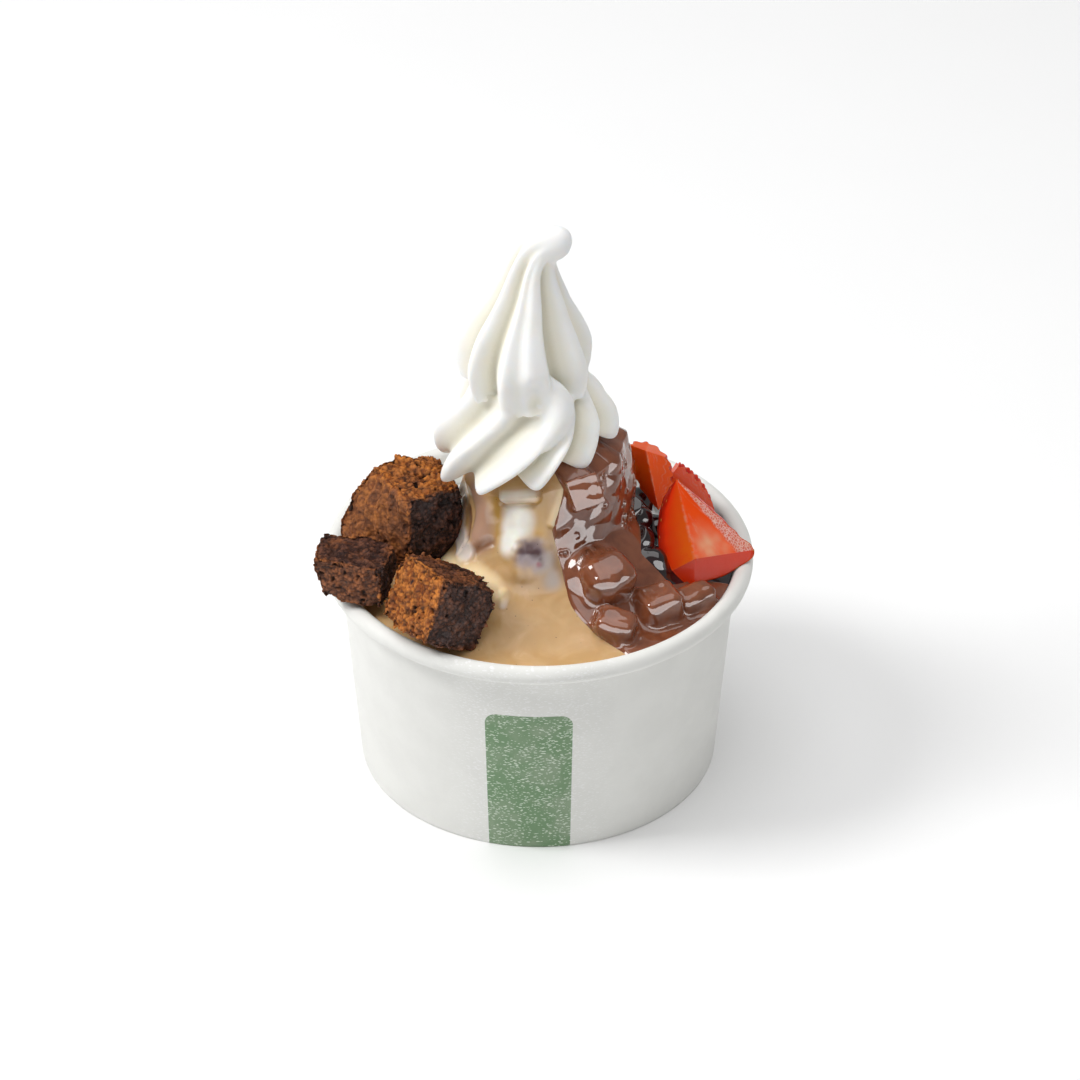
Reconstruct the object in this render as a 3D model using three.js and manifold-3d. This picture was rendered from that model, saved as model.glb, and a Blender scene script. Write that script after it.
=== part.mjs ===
// A paper cup of frozen yogurt: a two-tier swirl rises from a filled cup, with caramel and
// chocolate sauce run down its sides, a berry compote, brownie cubes, coated chunks and
// strawberry wedges laid round it.
// Millimetres, +Z up. The origin is on the cup's axis, at the plane it stands on.
// +X is to the right and -Y towards the front. An azimuth of 0 degrees is +X, -90 is the front.

import * as THREE from "three";
import { mergeVertices } from "three/addons/utils/BufferGeometryUtils.js";
import Module from "manifold-3d";

const wasm = await Module();
wasm.setup();

// ---- Driving dimensions -----------------------------------------------------------------
const RIM_DIAMETER = 115; // over the rolled bead
const CUP_HEIGHT = 64;
const BASE_DIAMETER = 97.4;
const BEAD_RADIUS = 2.4;
const BOARD = 0.6; // thickness of the paper wall
const FOOT_WIDTH = 1.6; // ring that the cup stands on
const BASE_RECESS = 5; // height of the bottom disc over the table
const DISC_THICKNESS = 0.8;
const CUP_SIDES = 56;

const FILL_FRONT = 61; // height of the filling at the wall, front and sides
const FILL_BACK = 53; // and behind, where it sinks below the rim
const COLUMN_RIGHT = 24.6; // radius of the dressed swirl base under the lower tier, on the right
const COLUMN_LEFT = 20.2; // and on the left, where the coating is thin
const POOL_DEPTH = 4.6; // sauce lying in the cup
const COAT_DEPTH = 2.2; // sauce clinging to the column
const EDGE_DEPTH = 0.9; // sauce at its feathered edge

const LOWER_RIDGES = 9;
const LOWER_TWIST = 45; // degrees from the teeth to the waist
const UPPER_RIDGES = 7;
const WAIST_HEIGHT = 118.5;
const GAP = 0.3; // between neighbouring pieces
const POCKET_GAP = 0.39; // round a topping in the pocket cut for it
const BED_GAP = 0.75; // between a sauce and the yogurt under it
const TOP_CLEARANCE = 3.8; // from the teeth of the lower tier down to the sauces

// ---- Small helpers ----------------------------------------------------------------------
const { degToRad, lerp, smoothstep, clamp } = THREE.MathUtils;
const cosd = (degrees) => Math.cos(degToRad(degrees));
const sind = (degrees) => Math.sin(degToRad(degrees));

// The signed turn from one azimuth to another, between -180 and 180 degrees.
function turnFrom(from, to) {
  return ((((to - from + 180) % 360) + 360) % 360) - 180;
}

// A smooth curve through [x, y] pairs, read at 0 to 1.
function curveThrough(pairs) {
  const curve = new THREE.SplineCurve(pairs.map(([x, y]) => new THREE.Vector2(x, y)));
  return (t) => curve.getPoint(clamp(t, 0, 1));
}

// Smooth interpolation through [station, value] pairs.
function graded(pairs) {
  return (x) => {
    if (x <= pairs[0][0]) return pairs[0][1];
    for (let i = 1; i < pairs.length; i++) {
      const [x0, y0] = pairs[i - 1];
      const [x1, y1] = pairs[i];
      if (x <= x1) return lerp(y0, y1, smoothstep(x, x0, x1));
    }
    return pairs[pairs.length - 1][1];
  };
}

// A smooth graph through [x, y] pairs, as a cubic between each two with their common slopes.
function graph(pairs) {
  const slope = pairs.map((pair, i) => {
    const [x0, y0] = pairs[Math.max(i - 1, 0)];
    const [x1, y1] = pairs[Math.min(i + 1, pairs.length - 1)];
    return (y1 - y0) / (x1 - x0);
  });
  return (x) => {
    const last = pairs.length - 1;
    if (x <= pairs[0][0]) return pairs[0][1];
    if (x >= pairs[last][0]) return pairs[last][1];
    const i = pairs.findIndex((pair) => pair[0] >= x) - 1;
    const [x0, y0] = pairs[i];
    const [x1, y1] = pairs[i + 1];
    const width = x1 - x0;
    const t = (x - x0) / width;
    const fall = (1 - t) * (1 - t);
    return (
      y0 * fall * (1 + 2 * t) +
      y1 * t * t * (3 - 2 * t) +
      width * t * (fall * slope[i] - t * (1 - t) * slope[i + 1])
    );
  };
}

// A repeatable uneven value between -1 and 1, smooth in x, y and z.
function unevenness(x, y, z, seed) {
  const a = Math.sin(1.7 * x + 0.9 * y + seed) * Math.cos(1.3 * z - 0.6 * x + 2.1 * seed);
  const b = Math.sin(2.3 * y - 1.1 * z + 1.7 * seed) * Math.cos(0.8 * x + 1.9 * y - seed);
  return (a + b) / 2;
}

// ---- Solids -----------------------------------------------------------------------------
function meshFrom(points, triangles) {
  const geometry = new THREE.BufferGeometry();
  geometry.setAttribute("position", new THREE.Float32BufferAttribute(points, 3));
  geometry.setIndex(triangles);
  return facingOut(geometry);
}

function facingOut(geometry) {
  const p = geometry.getAttribute("position");
  const index = geometry.index.array;
  const [a, b, c] = [new THREE.Vector3(), new THREE.Vector3(), new THREE.Vector3()];
  let volume = 0;
  for (let i = 0; i < index.length; i += 3) {
    a.fromBufferAttribute(p, index[i]);
    b.fromBufferAttribute(p, index[i + 1]);
    c.fromBufferAttribute(p, index[i + 2]);
    volume += a.dot(b.cross(c));
  }
  if (volume < 0) {
    for (let i = 0; i < index.length; i += 3) {
      [index[i + 1], index[i + 2]] = [index[i + 2], index[i + 1]];
    }
  }
  return geometry;
}

function merged(geometry) {
  const bare = geometry.clone();
  bare.deleteAttribute("normal");
  bare.deleteAttribute("uv");
  return mergeVertices(bare, 1e-4);
}

// A closed skin of rings round an axis, shut by a point at both ends.
function ringedSolid(columns, rings, pointAt) {
  const points = [];
  const triangles = [];
  for (let ring = 0; ring <= rings; ring++) {
    const count = ring === 0 || ring === rings ? 1 : columns;
    for (let i = 0; i < count; i++) {
      points.push(...pointAt(ring / rings, (360 * i) / columns).toArray());
    }
  }
  const last = points.length / 3 - 1;
  const at = (ring, i) => 1 + (ring - 1) * columns + (i % columns);
  for (let i = 0; i < columns; i++) {
    triangles.push(0, at(1, i + 1), at(1, i), last, at(rings - 1, i), at(rings - 1, i + 1));
    for (let ring = 1; ring < rings - 1; ring++) {
      triangles.push(at(ring, i), at(ring, i + 1), at(ring + 1, i + 1));
      triangles.push(at(ring, i), at(ring + 1, i + 1), at(ring + 1, i));
    }
  }
  return meshFrom(points, triangles);
}

// A closed slab between an outer and an inner sheet, both read at across and up from 0 to 1.
function slabSolid(columns, rows, outerAt, innerAt) {
  const points = [];
  const triangles = [];
  const perSheet = (columns + 1) * (rows + 1);
  for (const sheet of [outerAt, innerAt]) {
    for (let j = 0; j <= rows; j++) {
      for (let i = 0; i <= columns; i++) points.push(...sheet(i / columns, j / rows).toArray());
    }
  }
  const at = (side, i, j) => side * perSheet + j * (columns + 1) + i;
  const quad = (a, b, c, d) => triangles.push(a, b, c, a, c, d);
  for (let j = 0; j < rows; j++) {
    for (let i = 0; i < columns; i++) {
      quad(at(0, i, j), at(0, i + 1, j), at(0, i + 1, j + 1), at(0, i, j + 1));
      quad(at(1, i, j), at(1, i, j + 1), at(1, i + 1, j + 1), at(1, i + 1, j));
    }
  }
  for (let i = 0; i < columns; i++) {
    quad(at(0, i + 1, 0), at(0, i, 0), at(1, i, 0), at(1, i + 1, 0));
    quad(at(0, i, rows), at(0, i + 1, rows), at(1, i + 1, rows), at(1, i, rows));
  }
  for (let j = 0; j < rows; j++) {
    quad(at(0, 0, j), at(0, 0, j + 1), at(1, 0, j + 1), at(1, 0, j));
    quad(at(0, columns, j + 1), at(0, columns, j), at(1, columns, j), at(1, columns, j + 1));
  }
  return meshFrom(points, triangles);
}

function toSolid(geometry) {
  return new wasm.Manifold(
    new wasm.Mesh({
      numProp: 3,
      vertProperties: new Float32Array(geometry.getAttribute("position").array),
      triVerts: new Uint32Array(geometry.index.array),
    }),
  );
}

function toGeometry(solid) {
  const mesh = solid.getMesh();
  const geometry = new THREE.BufferGeometry();
  geometry.setAttribute("position", new THREE.BufferAttribute(mesh.vertProperties, 3));
  geometry.setIndex(new THREE.BufferAttribute(mesh.triVerts, 1));
  return geometry;
}

// The same shape swollen by a distance along its surface normals.
function swollen(geometry, distance) {
  const grown = geometry.clone();
  grown.computeVertexNormals();
  const p = grown.getAttribute("position");
  const n = grown.getAttribute("normal");
  for (let i = 0; i < p.count; i++) {
    p.setXYZ(
      i,
      p.getX(i) + distance * n.getX(i),
      p.getY(i) + distance * n.getY(i),
      p.getZ(i) + distance * n.getZ(i),
    );
  }
  grown.deleteAttribute("normal");
  return grown;
}

// The same shape stretched about its middle, so that its box grows by a distance all round.
function stretched(geometry, distance) {
  const grown = geometry.clone();
  grown.computeBoundingBox();
  const middle = grown.boundingBox.getCenter(new THREE.Vector3());
  const size = grown.boundingBox.getSize(new THREE.Vector3());
  const [x, y, z] = size.toArray().map((length) => 1 + (2 * distance) / length);
  grown.translate(-middle.x, -middle.y, -middle.z);
  grown.scale(x, y, z);
  return grown.translate(middle.x, middle.y, middle.z);
}

// The room that a topping takes up: the swollen piece clears its faces, and a stretched one
// the sharp edges of a wedge.
function roomFor(piece, sharp = false) {
  const room = toSolid(swollen(piece, POCKET_GAP));
  return sharp ? room.add(toSolid(stretched(piece, POCKET_GAP))) : room;
}

// The geometry with the rooms cut out of it. Loose scraps are dropped.
function cutFor(geometry, rooms) {
  let solid = toSolid(geometry);
  for (const room of rooms) solid = solid.subtract(room);
  const bodies = solid.decompose();
  bodies.sort((a, b) => b.volume() - a.volume());
  return toGeometry(bodies[0]);
}

// ---- The cup ----------------------------------------------------------------------------
const RIM_RADIUS = RIM_DIAMETER / 2;
const BASE_RADIUS = BASE_DIAMETER / 2;
const BEAD_CENTRE = RIM_RADIUS - BEAD_RADIUS;
const BEAD_HEIGHT = CUP_HEIGHT - BEAD_RADIUS;
const MOUTH_RADIUS = BEAD_CENTRE - BEAD_RADIUS; // inside of the wall at the top
const WALL_SLOPE = (MOUTH_RADIUS + BOARD - BASE_RADIUS) / BEAD_HEIGHT;
const FLOOR_HEIGHT = BASE_RECESS + DISC_THICKNESS;

function innerWall(z) {
  return BASE_RADIUS - BOARD + WALL_SLOPE * Math.min(z, BEAD_HEIGHT);
}

function paperCup() {
  const profile = [
    [0, BASE_RECESS],
    [BASE_RADIUS - FOOT_WIDTH, BASE_RECESS],
    [BASE_RADIUS - FOOT_WIDTH, 0],
    [BASE_RADIUS, 0],
    [lerp(BASE_RADIUS, MOUTH_RADIUS + BOARD, 0.5), BEAD_HEIGHT / 2],
  ];
  const beadSteps = 9;
  const beadStart = 205; // where the roll meets the outside of the wall, under the bead
  for (let i = 0; i <= beadSteps; i++) {
    const turn = beadStart + ((540 - beadStart) * i) / beadSteps;
    profile.push([
      BEAD_CENTRE + BEAD_RADIUS * cosd(turn),
      BEAD_HEIGHT + BEAD_RADIUS * sind(turn),
    ]);
  }
  profile.push([innerWall(FLOOR_HEIGHT), FLOOR_HEIGHT], [0, FLOOR_HEIGHT]);
  const outline = profile.map(([r, z]) => new THREE.Vector2(r, z));
  const lathe = new THREE.LatheGeometry(outline, CUP_SIDES);
  lathe.rotateX(Math.PI / 2);
  return facingOut(merged(lathe));
}

// ---- The dressed surface of the filling -------------------------------------------------
// It runs from the wall (up = 0) over the sloping pool and up the column (up = 1), where it
// ends under the teeth of the lower tier.

// Height of the lower tier's bottom edge: the coil climbs from the left towards the right.
function teethHeight(azimuth) {
  return 97 + 5.5 * cosd(azimuth + 18);
}

// 1 behind the swirl, 0 at the front and the sides.
function behind(azimuth) {
  return 1 - smoothstep(Math.abs(turnFrom(88, azimuth)), 28, 75);
}

// Low mounds of the filling: azimuth, up, height and the half-widths in degrees and up.
const MOUNDS = [
  [-126, 0.36, 2.6, 15, 0.1], // fold of sauce pushed up round the front brownie
  [-60, 0.34, 1.8, 16, 0.13],
  [-28, 0.3, 1.4, 14, 0.12],
  [-84, 0.72, 1.2, 8, 0.14], // coil ribs under the coating
  [-104, 0.76, 1.2, 8, 0.16],
  [-132, 0.72, 1.6, 9, 0.16],
  ...[75, 97, 119, 141, 163].map((azimuth) => [azimuth, 0.7, 1.8, 7, 0.24]),
];

function mounds(azimuth, up) {
  let height = 0;
  for (const [centre, place, rise, wide, high] of MOUNDS) {
    const across = turnFrom(centre, azimuth) / wide;
    const along = (up - place) / high;
    height += rise * Math.exp(-across * across - along * along);
  }
  return height * smoothstep(up, 0, 0.15);
}

// 1 on the left, under the brownies, 0 from the front round to the right.
function leftward(azimuth) {
  return 1 - smoothstep(Math.abs(turnFrom(172, azimuth)), 30, 62);
}

// The slope of the filling from the wall inwards: distance in from the wall and rise.
const FRONT_SLOPE = [[8, 1.6], [15.5, 5], [22, 10.5], [26.8, 17.5]];
const BACK_SLOPE = [[6, 0.6], [14, 2.2], [22, 7], [27, 17]];
const LEFT_SLOPE = [[8, 0.8], [16, 2], [23.5, 4.6], [29.4, 11]];

function columnRadius(azimuth) {
  return lerp(COLUMN_LEFT, COLUMN_RIGHT, (1 + cosd(azimuth)) / 2);
}

// The dressed surface lowered by a depth: a point [radius, z] in the plane of the azimuth.
function dressed(azimuth, up, depth) {
  const back = behind(azimuth);
  const left = leftward(azimuth);
  const column = columnRadius(azimuth);
  const fill = lerp(FILL_FRONT, FILL_BACK, back);
  const wall = innerWall(fill) - GAP;
  const top = teethHeight(azimuth) - TOP_CLEARANCE;
  const slope = FRONT_SLOPE.map((front, i) => {
    const [inwards, rise] = [0, 1].map((k) =>
      lerp(lerp(front[k], BACK_SLOPE[i][k], back), LEFT_SLOPE[i][k], left),
    );
    return [wall - inwards, fill + rise];
  });
  const foot = slope[slope.length - 1][1];
  const profile = curveThrough([
    [wall, fill],
    ...slope,
    [column, lerp(foot, top, 0.4)],
    [column - 0.8, lerp(foot, top, 0.72)],
    [lerp(column, COLUMN_LEFT, 0.6), top],
  ]);
  const here = profile(up);
  const ahead = profile(up + 0.01).sub(profile(up - 0.01));
  const out = new THREE.Vector2(ahead.y, -ahead.x).normalize();
  here.addScaledVector(out, mounds(azimuth, up) - depth);
  return [Math.min(here.x, innerWall(here.y) - GAP), here.y];
}

function onAzimuth(azimuth, [radius, z]) {
  return new THREE.Vector3(radius * cosd(azimuth), radius * sind(azimuth), z);
}

// ---- Sauces -----------------------------------------------------------------------------
// Each lies between two azimuths that change with up, and ends at a height on the column.
const SAUCES = {
  caramel: {
    from: graded([[0, -193], [0.6, -200], [1, -205]]),
    to: graded([[0, -64], [0.4, -77], [0.7, -83], [1, -76]]),
    top: 1,
  },
  chocolate: {
    from: graded([[0, -64], [0.4, -77], [0.7, -83], [1, -76]]),
    to: graded([[0, -16], [0.45, -9], [0.7, 25], [1, 52]]),
    top: 1,
  },
  compote: {
    from: graded([[0, -16], [0.45, -9], [0.7, 25]]),
    to: graded([[0, 70], [0.5, 74]]),
    top: 0.56,
  },
};
const EDGE_TURN = 20; // degrees over which a sauce thins out to its edge
const EDGE_UP = 0.14; // share of up over which it thins out to its top edge
const POOL_END = 0.25; // up at which the pool starts to thin into the coat
const COAT_START = 0.7; // up from which the coat clings to the column
const CLEAR_TURN = 6; // degrees and share of up by which the yogurt's bed outruns a sauce
const CLEAR_UP = 0.08;
const SEAM_TURN = 0.8; // degrees from a sauce's edge to the line it shares with its neighbour

function sauceDepth(sauce, azimuth, up) {
  const fromEdge = azimuth - sauce.from(up);
  const toEdge = sauce.to(up) - azimuth;
  const edge = Math.min(fromEdge, toEdge);
  const full = lerp(POOL_DEPTH, COAT_DEPTH, smoothstep(up, POOL_END, COAT_START));
  const topEdge = sauce.top < 1 ? smoothstep(sauce.top - up, 0, EDGE_UP) : 1;
  return lerp(EDGE_DEPTH, full, smoothstep(edge, 0, EDGE_TURN) * topEdge);
}

// Whether a place is covered by a sauce, or beside its edge by less than the clear margin.
function reaches(sauce, azimuth, up) {
  const across = Math.min(azimuth - sauce.from(up), sauce.to(up) - azimuth);
  return across > -CLEAR_TURN && up < sauce.top + CLEAR_UP;
}

// How far the yogurt lies under the dressed surface, so that the sauces fit over it.
function yogurtDepth(azimuth, up) {
  let depth = 0;
  for (const sauce of Object.values(SAUCES)) {
    const centre = (sauce.from(up) + sauce.to(up)) / 2;
    const near = centre + turnFrom(centre, azimuth);
    if (reaches(sauce, near, up)) {
      depth = Math.max(depth, sauceDepth(sauce, near, up) + BED_GAP);
    }
  }
  return depth;
}

// Berries sunk in the compote: azimuth, up and radius of each.
const BERRIES = [
  [4, 0.34, 5.2],
  [22, 0.2, 4.6],
  [24, 0.44, 5],
  [42, 0.3, 5.2],
  [60, 0.22, 4.8],
  [58, 0.46, 4.6],
];

const BERRY_SHOW = 0.75; // height of a berry's crown over the compote, in its radii

function berryRise(azimuth, up) {
  const here = onAzimuth(azimuth, dressed(azimuth, up, 0));
  let rise = 0;
  for (const [berryAzimuth, berryUp, berryRadius] of BERRIES) {
    const centre = onAzimuth(berryAzimuth, dressed(berryAzimuth, berryUp, 0));
    const away = here.distanceTo(centre) / berryRadius;
    if (away < 1) rise = Math.max(rise, BERRY_SHOW * berryRadius * Math.sqrt(1 - away * away));
  }
  return rise;
}

function sauceSolid(sauce, columns, rows, riseAt = () => 0) {
  const place = (across, upShare) => {
    const up = upShare * sauce.top;
    const from = sauce.from(up) + SEAM_TURN;
    const to = sauce.to(up) - SEAM_TURN;
    return [lerp(from, to, across), up];
  };
  const outer = (across, upShare) => {
    const [azimuth, up] = place(across, upShare);
    const inside = smoothstep(Math.min(across, 1 - across), 0, 0.12);
    const rise = riseAt(azimuth, up) * inside * smoothstep(upShare, 0, 0.15);
    return onAzimuth(azimuth, dressed(azimuth, up, -rise));
  };
  const inner = (across, upShare) => {
    const [azimuth, up] = place(across, upShare);
    const depth = Math.max(sauceDepth(sauce, azimuth, up), EDGE_DEPTH);
    return onAzimuth(azimuth, dressed(azimuth, up, depth));
  };
  return slabSolid(columns, rows, outer, inner);
}

// ---- The frozen yogurt ------------------------------------------------------------------
const SWIRL_SHIFT = -3.2; // the tiers sit a little to the left of the cup's axis

// A piped section: narrow crests over broad hollows. 1 on a crest, 0 in a hollow.
function crest(azimuth, ridges, crestAzimuth, sharpness) {
  return Math.pow((1 + cosd(ridges * (azimuth - crestAzimuth))) / 2, sharpness);
}

// Lower tier: from its underside, out round the teeth and up to the waist.
const LOWER_RISE = 21; // of the profile below, which is stretched between teeth and waist
const LOWER_PROFILE = curveThrough([
  [17.5, 3.4],
  [21.5, 0.8],
  [24, 1],
  [24.3, 4.6],
  [22.8, 9.4],
  [19.2, 14.4],
  [15.9, 18.2],
  [14.6, LOWER_RISE],
]);
const TOOTH_DEPTH = 4.8; // from a crest in to a hollow
const TOOTH_DROOP = 3.4; // from a hollow's edge down to a tooth's tip
const TOOTH_AZIMUTH = -85; // of one tooth's tip

function lowerTier(azimuth, share) {
  const { x: radius, y: rise } = LOWER_PROFILE(share);
  const teeth = teethHeight(azimuth);
  const height = clamp(rise / LOWER_RISE, 0, 1);
  const ridge = crest(azimuth, LOWER_RIDGES, TOOTH_AZIMUTH + LOWER_TWIST * height, 1.1);
  const open = smoothstep(share, 0.02, 0.2) * lerp(1, 0.4, smoothstep(share, 0.65, 1));
  const out = radius + 0.5 - TOOTH_DEPTH * open * (1 - ridge);
  const droop = TOOTH_DROOP * smoothstep(share, 0, 0.15) * (1 - smoothstep(share, 0.2, 0.55));
  return new THREE.Vector3(
    SWIRL_SHIFT + out * cosd(azimuth),
    out * sind(azimuth),
    lerp(teeth, WAIST_HEIGHT, rise / LOWER_RISE) + droop * (0.45 - ridge),
  );
}

// Upper tier: a skirt, a tall cone and a tip that curls over to the right.
const CENTRE_LINE = new THREE.CatmullRomCurve3([
  new THREE.Vector3(-3.2, 0, 118.4),
  new THREE.Vector3(-3.6, 0, 127),
  new THREE.Vector3(-3.5, 0, 135),
  new THREE.Vector3(-2.5, 0, 143),
  new THREE.Vector3(-0.9, 0, 150.5),
  new THREE.Vector3(1.6, 0, 155.6),
  new THREE.Vector3(5, 0, 157.6),
  new THREE.Vector3(9, 0, 156.6),
]);
// Radius over the crests against the share of the centre line.
const PEAK_RADIUS = graph([
  [0, 16.8],
  [0.07, 18.4],
  [0.18, 18.4],
  [0.32, 15.8],
  [0.46, 11.9],
  [0.6, 8.7],
  [0.72, 6.6],
  [0.82, 4.9],
  [0.9, 4.1],
  [0.96, 3.2],
  [0.99, 1.7],
  [1, 0],
]);
const SKIRT_SHARE = 0.1; // of the rings, spent on the skirt's underside
const SKIRT_DROOP = 2.6; // of a crest under the hollows beside it
const SKIRT_INSET = 3; // of the underside's inner edge
const SKIRT_SWING = 9; // degrees by which the crests turn on their way down to the skirt
const CREST_AZIMUTH = -95; // of one crest
const HOLLOW_SHARE = 0.27; // of the radius, from a crest in to a hollow

function upperTier(azimuth, share) {
  const along = clamp((share - SKIRT_SHARE) / (1 - SKIRT_SHARE), 0, 1);
  const under = 1 - clamp(share / SKIRT_SHARE, 0, 1);
  const centre = CENTRE_LINE.getPointAt(along);
  const tilt = smoothstep(along, 0.5, 0.78);
  const facing = new THREE.Vector3(0, 0, 1);
  facing.lerp(CENTRE_LINE.getTangentAt(along), tilt).normalize();
  const right = new THREE.Vector3(facing.z, 0, -facing.x);
  const swing = SKIRT_SWING * (1 - smoothstep(along, 0, 0.2));
  const ridge = crest(azimuth, UPPER_RIDGES, CREST_AZIMUTH + swing, 1.2);
  const radius = PEAK_RADIUS(along) - SKIRT_INSET * under;
  const fade = 1 - smoothstep(along, 0.6, 0.84);
  const out = radius * (1 - HOLLOW_SHARE * fade * (1 - ridge));
  const droop = SKIRT_DROOP * (1 - smoothstep(along, 0, 0.14)) * (1 - 0.7 * under);
  return centre
    .addScaledVector(right, out * cosd(azimuth))
    .add(new THREE.Vector3(0, out * sind(azimuth), -droop * ridge));
}

function frozenYogurt() {
  // Rings of the skin, from the cup's floor to the tip: how many each stretch takes.
  const rings = { cup: 3, filling: 12, lower: 12, upper: 20 };
  const total = rings.cup + rings.filling + rings.lower + rings.upper;
  return ringedSolid(UPPER_RIDGES * LOWER_RIDGES, total, (share, azimuth) => {
    let ring = Math.round(share * total);
    if (ring <= rings.cup) {
      if (ring === 0) return new THREE.Vector3(0, 0, FLOOR_HEIGHT + GAP);
      const rim = dressed(azimuth, 0, yogurtDepth(azimuth, 0))[1];
      const z = lerp(FLOOR_HEIGHT + GAP, rim, (ring - 1) / rings.cup);
      return onAzimuth(azimuth, [innerWall(z) - GAP, z]);
    }
    ring -= rings.cup + 1;
    if (ring < rings.filling) {
      const up = ring / rings.filling;
      return onAzimuth(azimuth, dressed(azimuth, up, yogurtDepth(azimuth, up)));
    }
    ring -= rings.filling;
    if (ring < rings.lower) return lowerTier(azimuth, ring / rings.lower);
    ring -= rings.lower;
    return upperTier(azimuth, ring / (rings.upper - 1));
  });
}

// ---- Toppings ---------------------------------------------------------------------------
function placed(geometry, { at, turn = [0, 0, 0] }) {
  const rotation = new THREE.Euler(...turn.map(degToRad));
  const matrix = new THREE.Matrix4().makeRotationFromEuler(rotation);
  matrix.setPosition(...at);
  return geometry.applyMatrix4(matrix);
}

const FLARE_CURVE = 0.6; // below 1, most of a block's widening is done near its top

// A block with softened corners and an uneven surface. On its -X side, flare widens the foot,
// the more so at the +Y end, and taper draws it in.
function roughBlock({ size, rounding, relief, seed, steps = 5, flare = 0, taper = 0 }) {
  const box = merged(new THREE.BoxGeometry(1, 1, 1, steps, steps, steps));
  const p = box.getAttribute("position");
  const v = new THREE.Vector3();
  for (let i = 0; i < p.count; i++) {
    v.fromBufferAttribute(p, i);
    const unit = v.clone().normalize();
    // Each corner is drawn in towards a ball by its share of the rounding.
    const square = Math.max(Math.abs(v.x), Math.abs(v.y), Math.abs(v.z)) * 2;
    const corner = v.length() * 2 - square;
    v.multiplyScalar(1 - rounding * corner);
    v.x *= size[0];
    v.y *= size[1];
    v.z *= size[2];
    const low = clamp(0.5 - v.z / size[2], 0, 1);
    const spread = flare * Math.pow(low, FLARE_CURVE) * (0.5 + v.y / size[1]);
    if (v.x < 0) v.x *= 1 + spread - taper * low;
    const uneven = unevenness(v.x * 0.45, v.y * 0.45, v.z * 0.45, seed);
    v.addScaledVector(unit, relief * uneven);
    p.setXYZ(i, v.x, v.y, v.z);
  }
  return box;
}

// A wedge cut from a strawberry. Its sections run from the foot to the tip and shrink on the
// way, by one bow at the left wing and another at the right. Each section is a corner where
// the two cut faces meet, the wings, and between them the skin, dimpled by its seeds, which
// swings round the back. At the foot it may swing under instead, and it draws in by a share,
// the shoulder.
function berryWedge({ foot, tip, left, right, back, under = back, bulge, bows, dimple, shoulder }) {
  const along = 11;
  const around = 10;
  const dimples = 4.5; // round the skin
  const underEnds = 0.45; // share of the length where the skin no longer swings under
  const shoulderCurve = 5; // how near the foot the shoulder stays
  const [start, end, toLeft, toRight, toBack, toUnder] = [foot, tip, left, right, back, under].map(
    (v) => new THREE.Vector3(...v),
  );
  const points = [];
  const triangles = [];
  for (let j = 0; j <= along; j++) {
    const t = j / along;
    const corner = start.clone().lerp(end, t);
    const behindCorner = toUnder.clone().lerp(toBack, smoothstep(t, 0, underEnds));
    points.push(...corner.toArray());
    for (let i = 0; i <= around; i++) {
      const turn = (180 * i) / around;
      const side = turn < 90 ? toLeft : toRight;
      const bow = lerp(bows[0], bows[1], (1 - cosd(turn)) / 2);
      const seeds = 1 + dimple * Math.cos(2 * Math.PI * ((dimples * i) / around + (j % 2) / 2));
      const drawnIn = 1 - shoulder * Math.pow(1 - t, shoulderCurve);
      const width = Math.max(1 - Math.pow(t, bow), 0.03) * drawnIn * seeds;
      const point = corner
        .clone()
        .addScaledVector(side, width * Math.pow(Math.abs(cosd(turn)), bulge))
        .addScaledVector(behindCorner, width * Math.pow(Math.abs(sind(turn)), bulge));
      points.push(...point.toArray());
    }
  }
  const row = around + 2;
  const at = (i, j) => j * row + (i % row);
  for (let j = 0; j < along; j++) {
    for (let i = 0; i < row; i++) {
      triangles.push(at(i, j), at(i + 1, j), at(i + 1, j + 1));
      triangles.push(at(i, j), at(i + 1, j + 1), at(i, j + 1));
    }
  }
  for (let i = 1; i < row - 1; i++) {
    triangles.push(at(0, 0), at(i + 1, 0), at(i, 0));
    triangles.push(at(0, along), at(i, along), at(i + 1, along));
  }
  return meshFrom(points, triangles);
}

const BROWNIES = [
  {
    block: { size: [16.5, 22, 23.5], rounding: 0.13, relief: 0.9, seed: 1.3, flare: 1.9 },
    at: [-31.2, -1.5, 76.7],
    turn: [-2, 1, 25],
  },
  {
    block: { size: [22, 16, 13.5], rounding: 0.2, relief: 0.8, seed: 4.1, taper: 0.45 },
    at: [-48.8, -21.6, 71.4],
    turn: [-2, 3, -14],
  },
  {
    block: { size: [19, 22.5, 19.5], rounding: 0.13, relief: 0.8, seed: 7.7 },
    at: [-25.6, -37, 71.6],
    turn: [-23, 20, 37],
  },
];

const CHUNKS = [
  { size: [9, 9, 6], at: [12, -21.6, 96], turn: [58, 8, 20], seed: 2.2 },
  { size: [13, 12, 11], at: [18, -28, 73.5], turn: [20, 10, 35], seed: 5.1 },
  { size: [10.5, 10, 9], at: [31.5, -30, 66], turn: [10, -8, 24], seed: 3.3 },
  { size: [10, 8, 6.5], at: [20, -38.5, 65.5], turn: [8, 12, -12], seed: 8.4 },
  { size: [11, 6.5, 5.5], at: [41, -24.2, 64.2], turn: [6, 4, 34], seed: 6.6 },
];

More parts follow.
